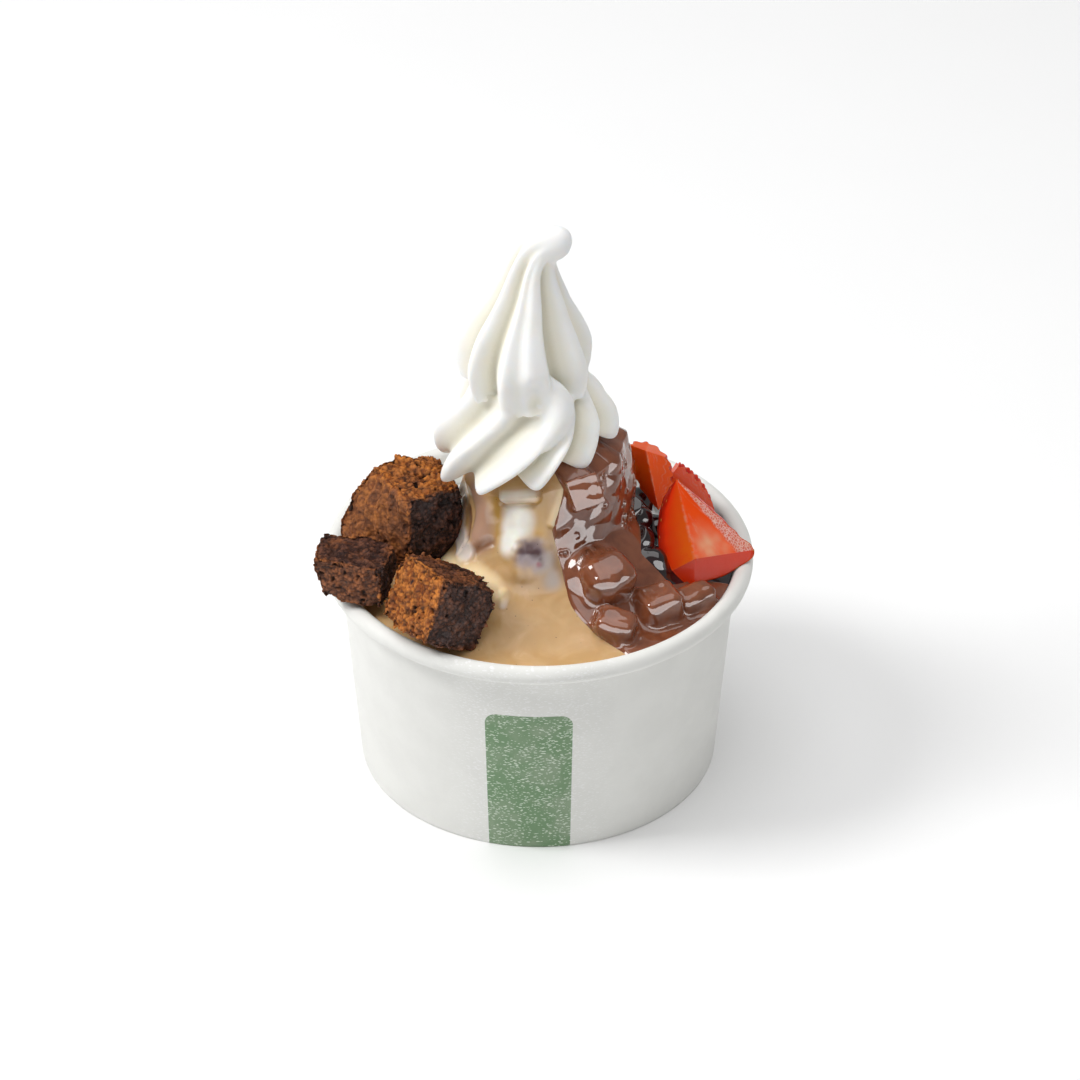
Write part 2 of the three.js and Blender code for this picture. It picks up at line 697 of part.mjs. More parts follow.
const STRAWBERRIES = [
  {
    foot: [28.6, 7, 90],
    tip: [32.1, 3, 73.7],
    left: [-5.4, 6.2, -1.6],
    right: [7, 5.2, -6],
    back: [1, 9, -2.6],
    bulge: 1.3,
    bows: [3.4, 2],
    dimple: 0.05,
    shoulder: 0.2,
  },
  {
    foot: [34.9, 14, 76.1],
    tip: [48.1, 14.5, 63.9],
    left: [-2, 6.1, -1.1],
    right: [3.2, 2, 3.8],
    back: [1.2, 6.2, 0],
    bulge: 1.2,
    bows: [2, 2.6],
    dimple: 0.06,
    shoulder: 0.1,
  },
  {
    foot: [41.4, -14.6, 70],
    tip: [36.7, 1, 84.8],
    left: [-8, -0.4, -4.9],
    right: [16.5, 9.2, -3.3],
    back: [-3, 12, 1],
    under: [-0.3, -3, -6.1],
    bulge: 1.1,
    bows: [3, 1],
    dimple: 0.02,
    shoulder: 0,
  },
];

const FRUIT_PIECE = { size: [8, 5, 8], at: [-2.2, -27.5, 75.5], turn: [-30, 0, 8], seed: 9.2 };

// ---- Assembly ---------------------------------------------------------------------------
const MATERIALS = {
  paper: new THREE.MeshStandardMaterial({ color: 0xeeeeec, roughness: 0.55, metalness: 0 }),
  yogurt: new THREE.MeshStandardMaterial({ color: 0xf7f4ea, roughness: 0.35, metalness: 0 }),
  caramel: new THREE.MeshStandardMaterial({ color: 0xcfa878, roughness: 0.3, metalness: 0 }),
  chocolate: new THREE.MeshStandardMaterial({ color: 0x7c4a35, roughness: 0.2, metalness: 0 }),
  compote: new THREE.MeshStandardMaterial({ color: 0x2c1118, roughness: 0.1, metalness: 0 }),
  brownie: new THREE.MeshStandardMaterial({ color: 0x53301f, roughness: 0.9, metalness: 0 }),
  strawberry: new THREE.MeshStandardMaterial({ color: 0xd8321a, roughness: 0.35, metalness: 0 }),
  fruit: new THREE.MeshStandardMaterial({ color: 0x8d5a63, roughness: 0.35, metalness: 0 }),
};

const froyo = new THREE.Group();

function addMesh(name, geometry, material) {
  const mesh = new THREE.Mesh(geometry, material);
  mesh.name = name;
  froyo.add(mesh);
}

const brownies = BROWNIES.map((one) => placed(roughBlock(one.block), one));
const chunks = CHUNKS.map((one) =>
  placed(roughBlock({ ...one, rounding: 0.2, relief: 0.5, steps: 3 }), one),
);
const strawberries = STRAWBERRIES.map(berryWedge);
const fruit = placed(
  roughBlock({ ...FRUIT_PIECE, rounding: 0.45, relief: 0.5, steps: 3 }),
  FRUIT_PIECE,
);
const rooms = [
  ...[...brownies, ...chunks, fruit].map((one) => roomFor(one)),
  ...strawberries.map((one) => roomFor(one, true)),
];

addMesh("paper_cup", paperCup(), MATERIALS.paper);
addMesh("frozen_yogurt", cutFor(frozenYogurt(), rooms), MATERIALS.yogurt);
addMesh("caramel_sauce", cutFor(sauceSolid(SAUCES.caramel, 22, 11), rooms), MATERIALS.caramel);
addMesh(
  "chocolate_sauce",
  cutFor(sauceSolid(SAUCES.chocolate, 15, 11), rooms),
  MATERIALS.chocolate,
);
addMesh(
  "berry_compote",
  cutFor(sauceSolid(SAUCES.compote, 14, 8, berryRise), rooms),
  MATERIALS.compote,
);
addMesh("fruit_piece", fruit, MATERIALS.fruit);
brownies.forEach((one, i) => addMesh(`brownie_${i + 1}`, one, MATERIALS.brownie));
chunks.forEach((one, i) => addMesh(`coated_chunk_${i + 1}`, one, MATERIALS.chocolate));
strawberries.forEach((one, i) => addMesh(`strawberry_${i + 1}`, one, MATERIALS.strawberry));

export default froyo;
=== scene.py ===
# The looks of a paper cup of frozen yogurt: a two-tier swirl, caramel and chocolate sauce, berry
# compote, brownie cubes, coated chunks and strawberry wedges.
# Lengths are millimetres until mesh_from() turns them into metres, and angles are degrees.
# +X is to the right, -Y to the front and +Z up. An azimuth of 0 is +X and -90 is the front.

import math

import bmesh
import bpy
import numpy as np
from mathutils.kdtree import KDTree
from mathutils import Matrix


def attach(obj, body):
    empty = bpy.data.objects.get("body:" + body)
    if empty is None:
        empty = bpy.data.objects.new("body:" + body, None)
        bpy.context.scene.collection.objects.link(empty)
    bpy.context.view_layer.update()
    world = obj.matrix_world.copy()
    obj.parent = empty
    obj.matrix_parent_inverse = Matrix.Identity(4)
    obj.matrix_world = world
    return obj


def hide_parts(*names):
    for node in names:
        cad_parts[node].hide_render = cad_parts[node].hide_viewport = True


MM = 0.001

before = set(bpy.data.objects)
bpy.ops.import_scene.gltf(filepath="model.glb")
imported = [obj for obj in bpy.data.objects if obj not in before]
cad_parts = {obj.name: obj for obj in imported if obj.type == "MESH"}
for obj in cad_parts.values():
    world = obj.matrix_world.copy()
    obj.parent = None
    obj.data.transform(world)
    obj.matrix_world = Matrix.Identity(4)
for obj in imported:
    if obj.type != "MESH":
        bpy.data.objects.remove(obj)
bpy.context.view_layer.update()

# ---- Driving dimensions ---------------------------------------------------------------------
RIM_DIAMETER = 115.0
CUP_HEIGHT = 64.0
BASE_DIAMETER = 97.4
BEAD_RADIUS = 2.4
BOARD = 0.6
FOOT_WIDTH = 1.6
BASE_RECESS = 5.0
DISC_THICKNESS = 0.8
FILL_FRONT = 61.0
FILL_BACK = 53.0
COLUMN_RIGHT = 24.6
COLUMN_LEFT = 20.2
POOL_DEPTH = 4.6
COAT_DEPTH = 2.2
EDGE_DEPTH = 0.9
TOP_CLEARANCE = 3.8
WAIST_HEIGHT = 118.5
SWIRL_SHIFT = -3.2
GAP = 0.3
TUCK_RADIUS = 13.0
TUCK_RISE = 3.5

RIM_RADIUS = RIM_DIAMETER / 2
BASE_RADIUS = BASE_DIAMETER / 2
BEAD_CENTRE = RIM_RADIUS - BEAD_RADIUS
BEAD_HEIGHT = CUP_HEIGHT - BEAD_RADIUS
MOUTH_RADIUS = BEAD_CENTRE - BEAD_RADIUS
WALL_SLOPE = (MOUTH_RADIUS + BOARD - BASE_RADIUS) / BEAD_HEIGHT
FLOOR_HEIGHT = BASE_RECESS + DISC_THICKNESS

# The printed field on the cup.
FIELD_AZIMUTH = -92.8
FIELD_HALF_TURN = 12.8
FIELD_TOP = 46.0
FIELD_CORNER = 3.4
PRINT_EDGE = 0.07

# The view, from the front and above.
VIEW_CENTRE = (0.45, 0.0, 66.08)
VIEW_DISTANCE = 1070.6
VIEW_ELEVATION = 34.308
LENS = 133.33


# ---- Numbers --------------------------------------------------------------------------------
def mix(a, b, share):
    return a + (b - a) * share


def smooth(x, low, high):
    share = np.clip((x - low) / (high - low), 0, 1)
    return share * share * (3 - 2 * share)


def cosd(degrees):
    return np.cos(np.radians(degrees))


def sind(degrees):
    return np.sin(np.radians(degrees))


def around(count):
    """Evenly spaced azimuths for one full turn."""
    return 360 * np.arange(count) / count


def polar(radius, azimuth, z):
    return np.stack([radius * cosd(azimuth), radius * sind(azimuth), z], axis=-1)


def turn_from(start, end):
    """The signed turn from one azimuth to another, between -180 and 180 degrees."""
    return (end - start + 180) % 360 - 180


def bell(x, centre, width):
    return np.exp(-(((x - centre) / width) ** 2))


def graded(x, pairs):
    """Smooth steps through [station, value] pairs."""
    value = np.full(np.shape(x), float(pairs[0][1]))
    for (x0, y0), (x1, y1) in zip(pairs, pairs[1:]):
        value = value + (y1 - y0) * smooth(x, x0, x1)
    return value


def graph(x, pairs):
    """A smooth graph through [x, y] pairs, as a cubic between each two."""
    xs, ys = np.array(pairs, float).T
    slope = np.empty(len(xs))
    slope[1:-1] = (ys[2:] - ys[:-2]) / (xs[2:] - xs[:-2])
    slope[0] = (ys[1] - ys[0]) / (xs[1] - xs[0])
    slope[-1] = (ys[-1] - ys[-2]) / (xs[-1] - xs[-2])
    x = np.clip(x, xs[0], xs[-1])
    i = np.clip(np.searchsorted(xs, x) - 1, 0, len(xs) - 2)
    width = xs[i + 1] - xs[i]
    t = (x - xs[i]) / width
    fall = (1 - t) ** 2
    low = ys[i] * fall * (1 + 2 * t)
    high = ys[i + 1] * t * t * (3 - 2 * t)
    return low + high + width * t * (fall * slope[i] - t * (1 - t) * slope[i + 1])


def along_curve(controls, t):
    """Catmull-Rom curves, one for each t, through controls of shape (points, ..., axes)."""
    last = len(controls) - 1
    t = last * np.clip(t, 0, 1)
    i = np.floor(t).astype(int)
    w = (t - i)[..., None]
    p0, p1, p2, p3 = (
        np.take_along_axis(controls, np.clip(i + k, 0, last)[None, ..., None], axis=0)[0]
        for k in (-1, 0, 1, 2)
    )
    v0 = (p2 - p0) / 2
    v1 = (p3 - p1) / 2
    cubic = (2 * p1 - 2 * p2 + v0 + v1) * w**3 + (3 * p2 - 3 * p1 - 2 * v0 - v1) * w**2
    return cubic + v0 * w + p1


def curve_through(points, t):
    """One Catmull-Rom curve through the points, read at an array of t."""
    controls = np.array(points, float)
    shape = (len(controls),) + np.shape(t) + (controls.shape[1],)
    spread = controls.reshape((len(controls),) + (1,) * np.ndim(t) + (-1,))
    return along_curve(np.broadcast_to(spread, shape), np.asarray(t, float))


def relief(azimuth, height, lines):
    """From 0 in a groove to 1 on a crest, by lines whose azimuths change with the height."""
    stations = [graph(height, line) for _, line in lines]
    values = [value for value, _ in lines]
    first = stations[0]
    past = (azimuth - first) % 360
    total = np.full(np.broadcast(azimuth, height).shape, float(values[0]))
    for k, (value, ahead) in enumerate(zip(values, values[1:] + values[:1])):
        start = stations[k] - first
        end = 360.0 if k + 1 == len(lines) else stations[k + 1] - first
        total += (ahead - value) * smooth(past, start, end)
    return total


def hashed(cell, seed):
    """A repeatable value from 0 to 1 for each whole-number cell."""
    i, j, k = (cell[..., axis].astype(np.int64) for axis in range(3))
    h = (i * 73856093 ^ j * 19349663 ^ k * 83492791 ^ (seed * 40503 + 977)) & 0xFFFFFFFF
    h = ((h ^ (h >> 15)) * 1274126177) & 0xFFFFFFFF
    h = ((h ^ (h >> 13)) * 668265263) & 0xFFFFFFFF
    return ((h ^ (h >> 16)) & 0xFFFFFF) / 0xFFFFFF


def noise(points, size, seed):
    """Smooth unevenness from -1 to 1, with bumps about `size` across."""
    scaled = points / size + 100.0
    base = np.floor(scaled)
    f = scaled - base
    f = f * f * (3 - 2 * f)
    total = 0
    for corner in np.ndindex(2, 2, 2):
        weight = np.prod(np.where(corner, f, 1 - f), axis=-1)
        total = total + weight * hashed(base + np.array(corner), seed)
    return 2 * total - 1


def rough(points, size, octaves, seed):
    """Noise of several sizes, each half the one before it and half as strong."""
    total = 0
    for octave in range(octaves):
        total = total + noise(points, size / 2**octave, seed + 31 * octave) / 2**octave
    return total


def cells(points, size, seed):
    """Distance to the nearest of scattered centres, in sizes, and that centre's own value."""
    scaled = points / size + 100.0
    base = np.floor(scaled)
    nearest = np.full(points.shape[:-1], 9.0)
    value = np.zeros(points.shape[:-1])
    for step in np.ndindex(3, 3, 3):
        cell = base + np.array(step) - 1
        place = np.stack([hashed(cell, seed + k) for k in range(3)], axis=-1)
        away = np.linalg.norm(scaled - cell - place, axis=-1)
        closer = away < nearest
        nearest = np.where(closer, away, nearest)
        value = np.where(closer, hashed(cell, seed + 3), value)
    return nearest, value


def turned(degrees):
    """The matrix that turns by three angles, about X, then the turned Y, then the turned Z."""
    (cx, cy, cz), (sx, sy, sz) = cosd(np.array(degrees)), sind(np.array(degrees))
    about_x = np.array([[1, 0, 0], [0, cx, -sx], [0, sx, cx]])
    about_y = np.array([[cy, 0, sy], [0, 1, 0], [-sy, 0, cy]])
    about_z = np.array([[cz, -sz, 0], [sz, cz, 0], [0, 0, 1]])
    return about_x @ about_y @ about_z


def unit_of(vectors):
    return vectors / np.linalg.norm(vectors, axis=-1, keepdims=True)


def placed(points, row):
    """The points turned and moved to the row's place."""
    return points @ turned(row["turn"]).T + np.array(row["at"])


def soft_least(a, b, blend):
    """The smaller of two distances, rounded where they are within a blend of each other."""
    share = np.clip(0.5 + 0.5 * (b - a) / blend, 0, 1)
    return mix(b, a, share) - blend * share * (1 - share)


# ---- Meshes ---------------------------------------------------------------------------------
def mesh_from(name, points, faces, values=None):
    """A smooth-shaded object from points in millimetres, with a value for each point by name."""
    mesh = bpy.data.meshes.new(name)
    mesh.from_pydata((np.asarray(points) * MM).tolist(), [], faces)
    mesh.shade_smooth()
    piece = bpy.data.objects.new(name, mesh)
    bpy.context.scene.collection.objects.link(piece)
    for key, data in (values or {}).items():
        set_value(piece, key, data)
    return piece


def set_value(piece, name, data):
    layer = piece.data.attributes.new(name, "FLOAT", "POINT")
    layer.data.foreach_set("value", np.asarray(data, np.float32).ravel())


def dress(piece, material, slot, *nodes):
    """Gives the piece its material and its place in the frame."""
    piece.data.materials.clear()
    piece.data.materials.append(material)
    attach(piece, "root")
    if nodes:
        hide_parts(*nodes)
    return piece


def grid_faces(rows, columns, wrap, first=0):
    """Quads of a grid of points numbered row by row, joined round its columns if wrap."""
    j, i = np.meshgrid(np.arange(rows - 1), np.arange(columns if wrap else columns - 1), indexing="ij")
    ahead = (i + 1) % columns
    quads = [j * columns + i, j * columns + ahead, (j + 1) * columns + ahead, (j + 1) * columns + i]
    return (np.stack(quads, axis=-1).reshape(-1, 4) + first).tolist()


def ringed(rings):
    """Points and faces of rings of points, from the lowest up, closed by a point at each end."""
    rows, columns = rings.shape[:2]
    points = np.concatenate([rings.reshape(-1, 3), rings[:1].mean(1), rings[-1:].mean(1)])
    start, end = rows * columns, rows * columns + 1
    faces = grid_faces(rows, columns, wrap=True)
    last = (rows - 1) * columns
    for i in range(columns):
        ahead = (i + 1) % columns
        faces.append([start, ahead, i])
        faces.append([end, last + i, last + ahead])
    return points, faces


def ringed_values(grid):
    """A grid's values in the order of the points that ringed() gives."""
    return np.concatenate([grid.ravel(), grid[:1].mean(1), grid[-1:].mean(1)])


def slab(outer, inner):
    """Points and faces of the closed slab between two sheets of points."""
    rows, columns = outer.shape[:2]
    count = rows * columns
    points = np.concatenate([outer.reshape(-1, 3), inner.reshape(-1, 3)])
    faces = grid_faces(rows, columns, wrap=False)
    faces += [face[::-1] for face in grid_faces(rows, columns, wrap=False, first=count)]
    border = list(range(columns))
    border += [j * columns + columns - 1 for j in range(1, rows)]
    border += [(rows - 1) * columns + i for i in range(columns - 2, -1, -1)]
    border += [j * columns for j in range(rows - 2, 0, -1)]
    for a, b in zip(border, border[1:] + border[:1]):
        faces.append([b, a, a + count, b + count])
    return points, faces


def faced_out(piece):
    """Turns all faces outwards."""
    shape = bmesh.new()
    shape.from_mesh(piece.data)
    bmesh.ops.recalc_face_normals(shape, faces=shape.faces)
    shape.to_mesh(piece.data)
    shape.free()
    return piece


# ---- Materials ------------------------------------------------------------------------------
def linear(code):
    """A screen colour such as 0xCFA878 as the linear colour that shaders take."""
    parts = [((code >> shift) & 255) / 255 for shift in (16, 8, 0)]
    return tuple(c / 12.92 if c <= 0.04045 else ((c + 0.055) / 1.055) ** 2.4 for c in parts) + (1.0,)


class Finish:
    """A procedural material: a Principled shader and short names for the nodes that feed it."""

    def __init__(self, name, **inputs):
        self.material = bpy.data.materials.new(name)
        self.material.use_nodes = True
        self.tree = self.material.node_tree
        self.shader = self.tree.nodes["Principled BSDF"]
        for key, value in inputs.items():
            self.shader.inputs[key.replace("_", " ")].default_value = value
        place = self.tree.nodes.new("ShaderNodeTexCoord")
        self.place = self.scaled(place.outputs["Object"], (1 / MM,) * 3)

    def link(self, source, target):
        if isinstance(source, (int, float, tuple)):
            target.default_value = source
        else:
            self.tree.links.new(source, target)

    def scaled(self, vector, scale, rotation=(0, 0, 0)):
        node = self.tree.nodes.new("ShaderNodeMapping")
        node.inputs["Scale"].default_value = scale
        node.inputs["Rotation"].default_value = [math.radians(a) for a in rotation]
        self.link(vector, node.inputs["Vector"])
        return node.outputs["Vector"]

    def noise(self, size, detail=2.0, roughness=0.5, place=None, distortion=0.0):
        """Noise from 0 to 1 whose bumps are about `size` millimetres across."""
        node = self.tree.nodes.new("ShaderNodeTexNoise")
        node.inputs["Scale"].default_value = 1 / size
        node.inputs["Detail"].default_value = detail
        node.inputs["Roughness"].default_value = roughness
        node.inputs["Distortion"].default_value = distortion
        self.link(place or self.place, node.inputs["Vector"])
        return node.outputs["Fac"]

    def cells(self, size, place=None, output="Distance", feature="F1"):
        node = self.tree.nodes.new("ShaderNodeTexVoronoi")
        node.feature = feature
        node.inputs["Scale"].default_value = 1 / size
        self.link(place or self.place, node.inputs["Vector"])
        return node.outputs[output]

    def value(self, name):
        node = self.tree.nodes.new("ShaderNodeAttribute")
        node.attribute_name = name
        return node.outputs["Fac"]

    def math(self, operation, a, b=0.0, clamp=False):
        node = self.tree.nodes.new("ShaderNodeMath")
        node.operation = operation
        node.use_clamp = clamp
        self.link(a, node.inputs[0])
        self.link(b, node.inputs[1])
        return node.outputs[0]

    def times(self, a, b):
        return self.math("MULTIPLY", a, b)

    def plus(self, a, b):
        return self.math("ADD", a, b)

    def minus(self, a, b, clamp=False):
        return self.math("SUBTRACT", a, b, clamp)

    def squares(self, a, b):
        return self.plus(self.times(a, a), self.times(b, b))

    def two_tone(self, value, low, high, first, second):
        """The first screen colour below the low value and the second above the high one."""
        return self.mix(self.span(value, low, high), linear(first), linear(second))

    def span(self, value, low, high, start=0.0, end=1.0):
        """The value from low to high as a smooth share from start to end."""
        node = self.tree.nodes.new("ShaderNodeMapRange")
        node.interpolation_type = "SMOOTHSTEP"
        self.link(value, node.inputs["Value"])
        node.inputs["From Min"].default_value = low
        node.inputs["From Max"].default_value = high
        node.inputs["To Min"].default_value = start
        node.inputs["To Max"].default_value = end
        return node.outputs["Result"]

    def mix(self, share, a, b, blend="MIX"):
        node = self.tree.nodes.new("ShaderNodeMix")
        node.data_type = "RGBA"
        node.blend_type = blend
        self.link(share, node.inputs[0])
        self.link(a, node.inputs[6])
        self.link(b, node.inputs[7])
        return node.outputs[2]

    def bump(self, height, depth, strength=1.0):
        """Relief of a height from 0 to 1 that stands `depth` millimetres proud."""
        node = self.tree.nodes.new("ShaderNodeBump")
        node.inputs["Distance"].default_value = depth * MM
        node.inputs["Strength"].default_value = strength
        self.link(height, node.inputs["Height"])
        normal = self.shader.inputs["Normal"]
        if normal.links:
            self.link(normal.links[0].from_socket, node.inputs["Normal"])
        self.link(node.outputs["Normal"], normal)

    def colour(self, source):
        self.link(source, self.shader.inputs["Base Color"])

    def roughness(self, source):
        self.link(source, self.shader.inputs["Roughness"])


# Layers of printed flecks: angle, spacing and greatest half-width, as a share of the spacing.
FLECKS = [
    (0, 0.95, 0.25),
    (58, 0.8, 0.24),
    (117, 1.15, 0.22),
    (20, 0.62, 0.27),
    (75, 0.7, 0.25),
    (140, 1.4, 0.2),
]
FLECK_STRETCH = (0.5, 1.5, 1.0)
FLECK_FIELD = 16.0

# Juice on the inside of the wall: azimuth, height, half-widths, colour and strength.
SMEARS = [
    (-6, 58.2, 1.6, 2.6, 0xD06A6A, 0.85),
    (19, 60.5, 2.6, 2.4, 0x8C5A54, 0.6),
    (8, 59.5, 3.0, 2.0, 0xB08C84, 0.4),
]
SMEAR_RADIUS = 52.0


def paper_finish():
    paper = Finish("coated_board", Roughness=0.42, IOR=1.45, Specular_IOR_Level=0.12)
    split = paper.tree.nodes.new("ShaderNodeSeparateXYZ")
    paper.link(paper.place, split.inputs[0])
    x, y, z = split.outputs
    # The printed field: distance in from its rounded outline, in millimetres.
    turn = paper.math("ARCTAN2", y, x)
    field_radius = BASE_RADIUS + WALL_SLOPE * FIELD_TOP / 2
    across = paper.times(paper.minus(turn, math.radians(FIELD_AZIMUTH)), field_radius)
    half_width = math.radians(FIELD_HALF_TURN) * field_radius
    past_side = paper.minus(paper.math("ABSOLUTE", across), half_width - FIELD_CORNER)
    side = paper.math("MAXIMUM", past_side, 0.0)
    top = paper.math("MAXIMUM", paper.minus(z, FIELD_TOP - FIELD_CORNER), 0.0)
    reach = paper.math("SQRT", paper.squares(side, top))
    field = paper.span(reach, FIELD_CORNER - PRINT_EDGE, FIELD_CORNER + PRINT_EDGE, 1.0, 0.0)
    # Print lies on the outside only.
    radius = paper.math("SQRT", paper.squares(x, y))
    wall = paper.plus(paper.times(z, WALL_SLOPE), BASE_RADIUS - BOARD / 2)
    outside = paper.math("GREATER_THAN", radius, wall)
    field = paper.times(field, outside)

    flat = paper.tree.nodes.new("ShaderNodeCombineXYZ")
    paper.link(across, flat.inputs[0])
    paper.link(z, flat.inputs[1])
    flecks = 0.0
    for angle, size, most in FLECKS:
        place = paper.scaled(flat.outputs[0], FLECK_STRETCH, (0, 0, angle))
        away = paper.cells(size, place)
        limit = paper.times(paper.span(paper.cells(size, place, "Color"), 0.2, 0.75), most)
        fleck = paper.span(paper.minus(away, limit), -0.035, 0.02, 1.0, 0.0)
        flecks = paper.math("MAXIMUM", flecks, fleck)
    fade = paper.noise(9.0, 3.0, 0.6)
    green = paper.two_tone(fade, 0.35, 0.68, 0x789673, 0x8FA288)
    print_colour = paper.mix(paper.times(flecks, 0.85), green, linear(0xDCE6D6))
    cloud = paper.noise(14.0, 4.0, 0.6)
    board = paper.two_tone(cloud, 0.3, 0.7, 0xE9E9E5, 0xE4E4E0)
    for azimuth, height, wide, high, code, share in SMEARS:
        sideways = paper.times(paper.minus(turn, math.radians(azimuth)), SMEAR_RADIUS / wide)
        upwards = paper.times(paper.minus(z, height), 1 / high)
        wet = paper.plus(paper.squares(sideways, upwards), paper.times(paper.noise(2.2, 2.0), 0.8))
        smear = paper.times(paper.span(wet, 0.5, 1.5, share, 0.0), paper.minus(1.0, outside))
        board = paper.mix(smear, board, linear(code))
    # Fainter flecks go on past the field's sides.
    beside = paper.math("ABSOLUTE", across)
    near_field = paper.span(beside, half_width, half_width + FLECK_FIELD, 1.0, 0.0)
    faint = paper.times(flecks, paper.times(near_field, outside))
    board = paper.mix(paper.times(faint, 0.6), board, linear(0xF8F8F8))
    paper.colour(paper.mix(field, board, print_colour))
    paper.bump(paper.noise(0.9, 3.0, 0.6), 0.012)
    paper.bump(paper.noise(7.0, 2.0, 0.5), 0.06)
    return paper.material


def yogurt_finish():
    yogurt = Finish(
        "frozen_yogurt",
        Roughness=0.36,
        IOR=1.4,
        Specular_IOR_Level=0.12,
        Subsurface_Weight=1.0,
        Subsurface_Radius=(1.0, 0.9, 0.8),
        Subsurface_Scale=1.0 * MM,
    )
    groove_shade = yogurt.value("groove_shade")
    cloud = yogurt.noise(11.0, 3.0, 0.55)
    plain = yogurt.two_tone(cloud, 0.3, 0.7, 0xF8F8F5, 0xF5F4F0)
    # Painted shade: the grooves, the slots and the skirt's underside are tinted greyer, and yellow where
    # the shade value is deepest.
    groove_shaded = yogurt.mix(yogurt.span(groove_shade, 0.1, 0.55), plain, linear(0xF1EEE3))
    groove_shaded = yogurt.mix(yogurt.span(groove_shade, 0.5, 0.85), groove_shaded, linear(0xDDD9C9))
    deep = yogurt.span(groove_shade, 0.85, 1.0)
    yogurt.colour(yogurt.mix(deep, groove_shaded, linear(0xC6AE6C)))
    yogurt.roughness(yogurt.span(yogurt.noise(2.4, 3.0, 0.6), 0.3, 0.75, 0.3, 0.44))
    yogurt.bump(yogurt.noise(0.55, 2.0, 0.5), 0.012)
    yogurt.bump(yogurt.noise(3.5, 2.0, 0.5), 0.05)
    return yogurt.material


# The caramel's tints, laid over its plain colour in this order.
CARAMEL_TINTS = {
    "deep": 0xC09650,
    "blush": 0xB8927A,
    # The shade tint is painted shade.
    "shade": 0x8E6448,
    "pink": 0xD6C8BE,
    "film": 0xB9ABA2,
    "cream": 0xF0D8AC,
    "pale": 0xF8F4EA,
    "plum": 0x96868A,
    "bruise": 0x5C4648,
    "rose": 0x9A545C,
}


def caramel_finish():
    caramel = Finish(
        "caramel_sauce",
        Roughness=0.2,
        IOR=1.45,
        Specular_IOR_Level=0.3,
        Subsurface_Weight=0.5,
        Subsurface_Radius=(1.0, 0.6, 0.3),
        Subsurface_Scale=1.5 * MM,
    )
    cloud = caramel.noise(8.0, 3.0, 0.5, distortion=0.8)
    tan = caramel.two_tone(cloud, 0.35, 0.7, 0xC6A06E, 0xD2AE80)
    for tint, code in CARAMEL_TINTS.items():
        tan = caramel.mix(caramel.value(tint), tan, linear(code))
    away = caramel.cells(1.7)
    kept = caramel.span(caramel.cells(1.7, output="Color"), 0.52, 0.56)
    speck = caramel.times(caramel.span(away, 0.06, 0.1, 1.0, 0.0), kept)
    speck = caramel.times(speck, caramel.minus(1.0, caramel.value("pale"), clamp=True))
    caramel.colour(caramel.mix(caramel.times(speck, 0.8), tan, linear(0x5A4030)))
    caramel.roughness(caramel.span(cloud, 0.2, 0.8, 0.14, 0.3))
    caramel.bump(caramel.noise(2.6, 2.0, 0.5), 0.05)
    return caramel.material


def chocolate_finish():
    chocolate = Finish(
        "chocolate_sauce",
        Roughness=0.05,
        IOR=1.5,
        Subsurface_Weight=0.25,
        Subsurface_Radius=(1.0, 0.4, 0.2),
        Subsurface_Scale=0.8 * MM,
        Coat_Weight=0.5,
        Coat_Roughness=0.03,
    )
    cloud = chocolate.noise(6.0, 3.0, 0.5, distortion=0.6)
    brown = chocolate.two_tone(cloud, 0.3, 0.72, 0x74412A, 0x8C5236)
    chocolate.colour(brown)
    chocolate.bump(chocolate.noise(3.0, 1.0, 0.4), 0.015)
    return chocolate.material


def compote_finish():
    compote = Finish("berry_compote", Roughness=0.05, IOR=1.5, Coat_Weight=0.6, Coat_Roughness=0.02)
    cloud = compote.noise(3.0, 3.0, 0.6)
    compote.colour(compote.two_tone(cloud, 0.35, 0.75, 0x150809, 0x2A0D12))
    compote.bump(compote.noise(1.6, 1.0, 0.5), 0.03)
    return compote.material


def fruit_finish():
    fruit = Finish("fruit_piece", Roughness=0.2, IOR=1.45, Subsurface_Weight=0.4, Subsurface_Scale=1.0 * MM)
    cloud = fruit.noise(1.6, 3.0, 0.6)
    dull = fruit.two_tone(cloud, 0.35, 0.6, 0x9C8483, 0x6D5356)
    fruit.colour(fruit.mix(fruit.span(fruit.noise(0.9), 0.56, 0.66), dull, linear(0x9C5A60)))
    fruit.bump(cloud, 0.2)
    return fruit.material


def brownie_finish():
    brownie = Finish("brownie_crumb", Roughness=0.85, IOR=1.4, Specular_IOR_Level=0.2)
    grain = brownie.value("grain")
    dark = brownie.two_tone(grain, 0.3, 0.85, 0x2A1512, 0x684234)
    middle = brownie.two_tone(grain, 0.2, 0.8, 0x5A3019, 0xA2623A)
    orange = brownie.two_tone(grain, 0.2, 0.8, 0x8A4718, 0xD8853A)
    tone = brownie.value("tone")
    base = brownie.mix(brownie.span(tone, 0.05, 0.5), dark, middle)
    base = brownie.mix(brownie.span(tone, 0.5, 0.95), base, orange)
    fine = brownie.noise(0.4, 3.0, 0.65)
    base = brownie.mix(brownie.span(fine, 0.55, 0.75, 0.0, 0.5), base, linear(0xA8693C))
    base = brownie.mix(brownie.span(brownie.value("crust"), 0.3, 0.9, 0.0, 0.6), base, linear(0x7C5238))
    # Painted shade in the pits between crumbs and in the holes.
    brownie.colour(brownie.mix(brownie.value("pit"), base, linear(0x1A0C08)))
    brownie.roughness(brownie.span(brownie.noise(0.8, 2.0), 0.35, 0.75, 0.45, 0.9))
    brownie.bump(brownie.noise(0.3, 3.0, 0.7), 0.12)
    return brownie.material


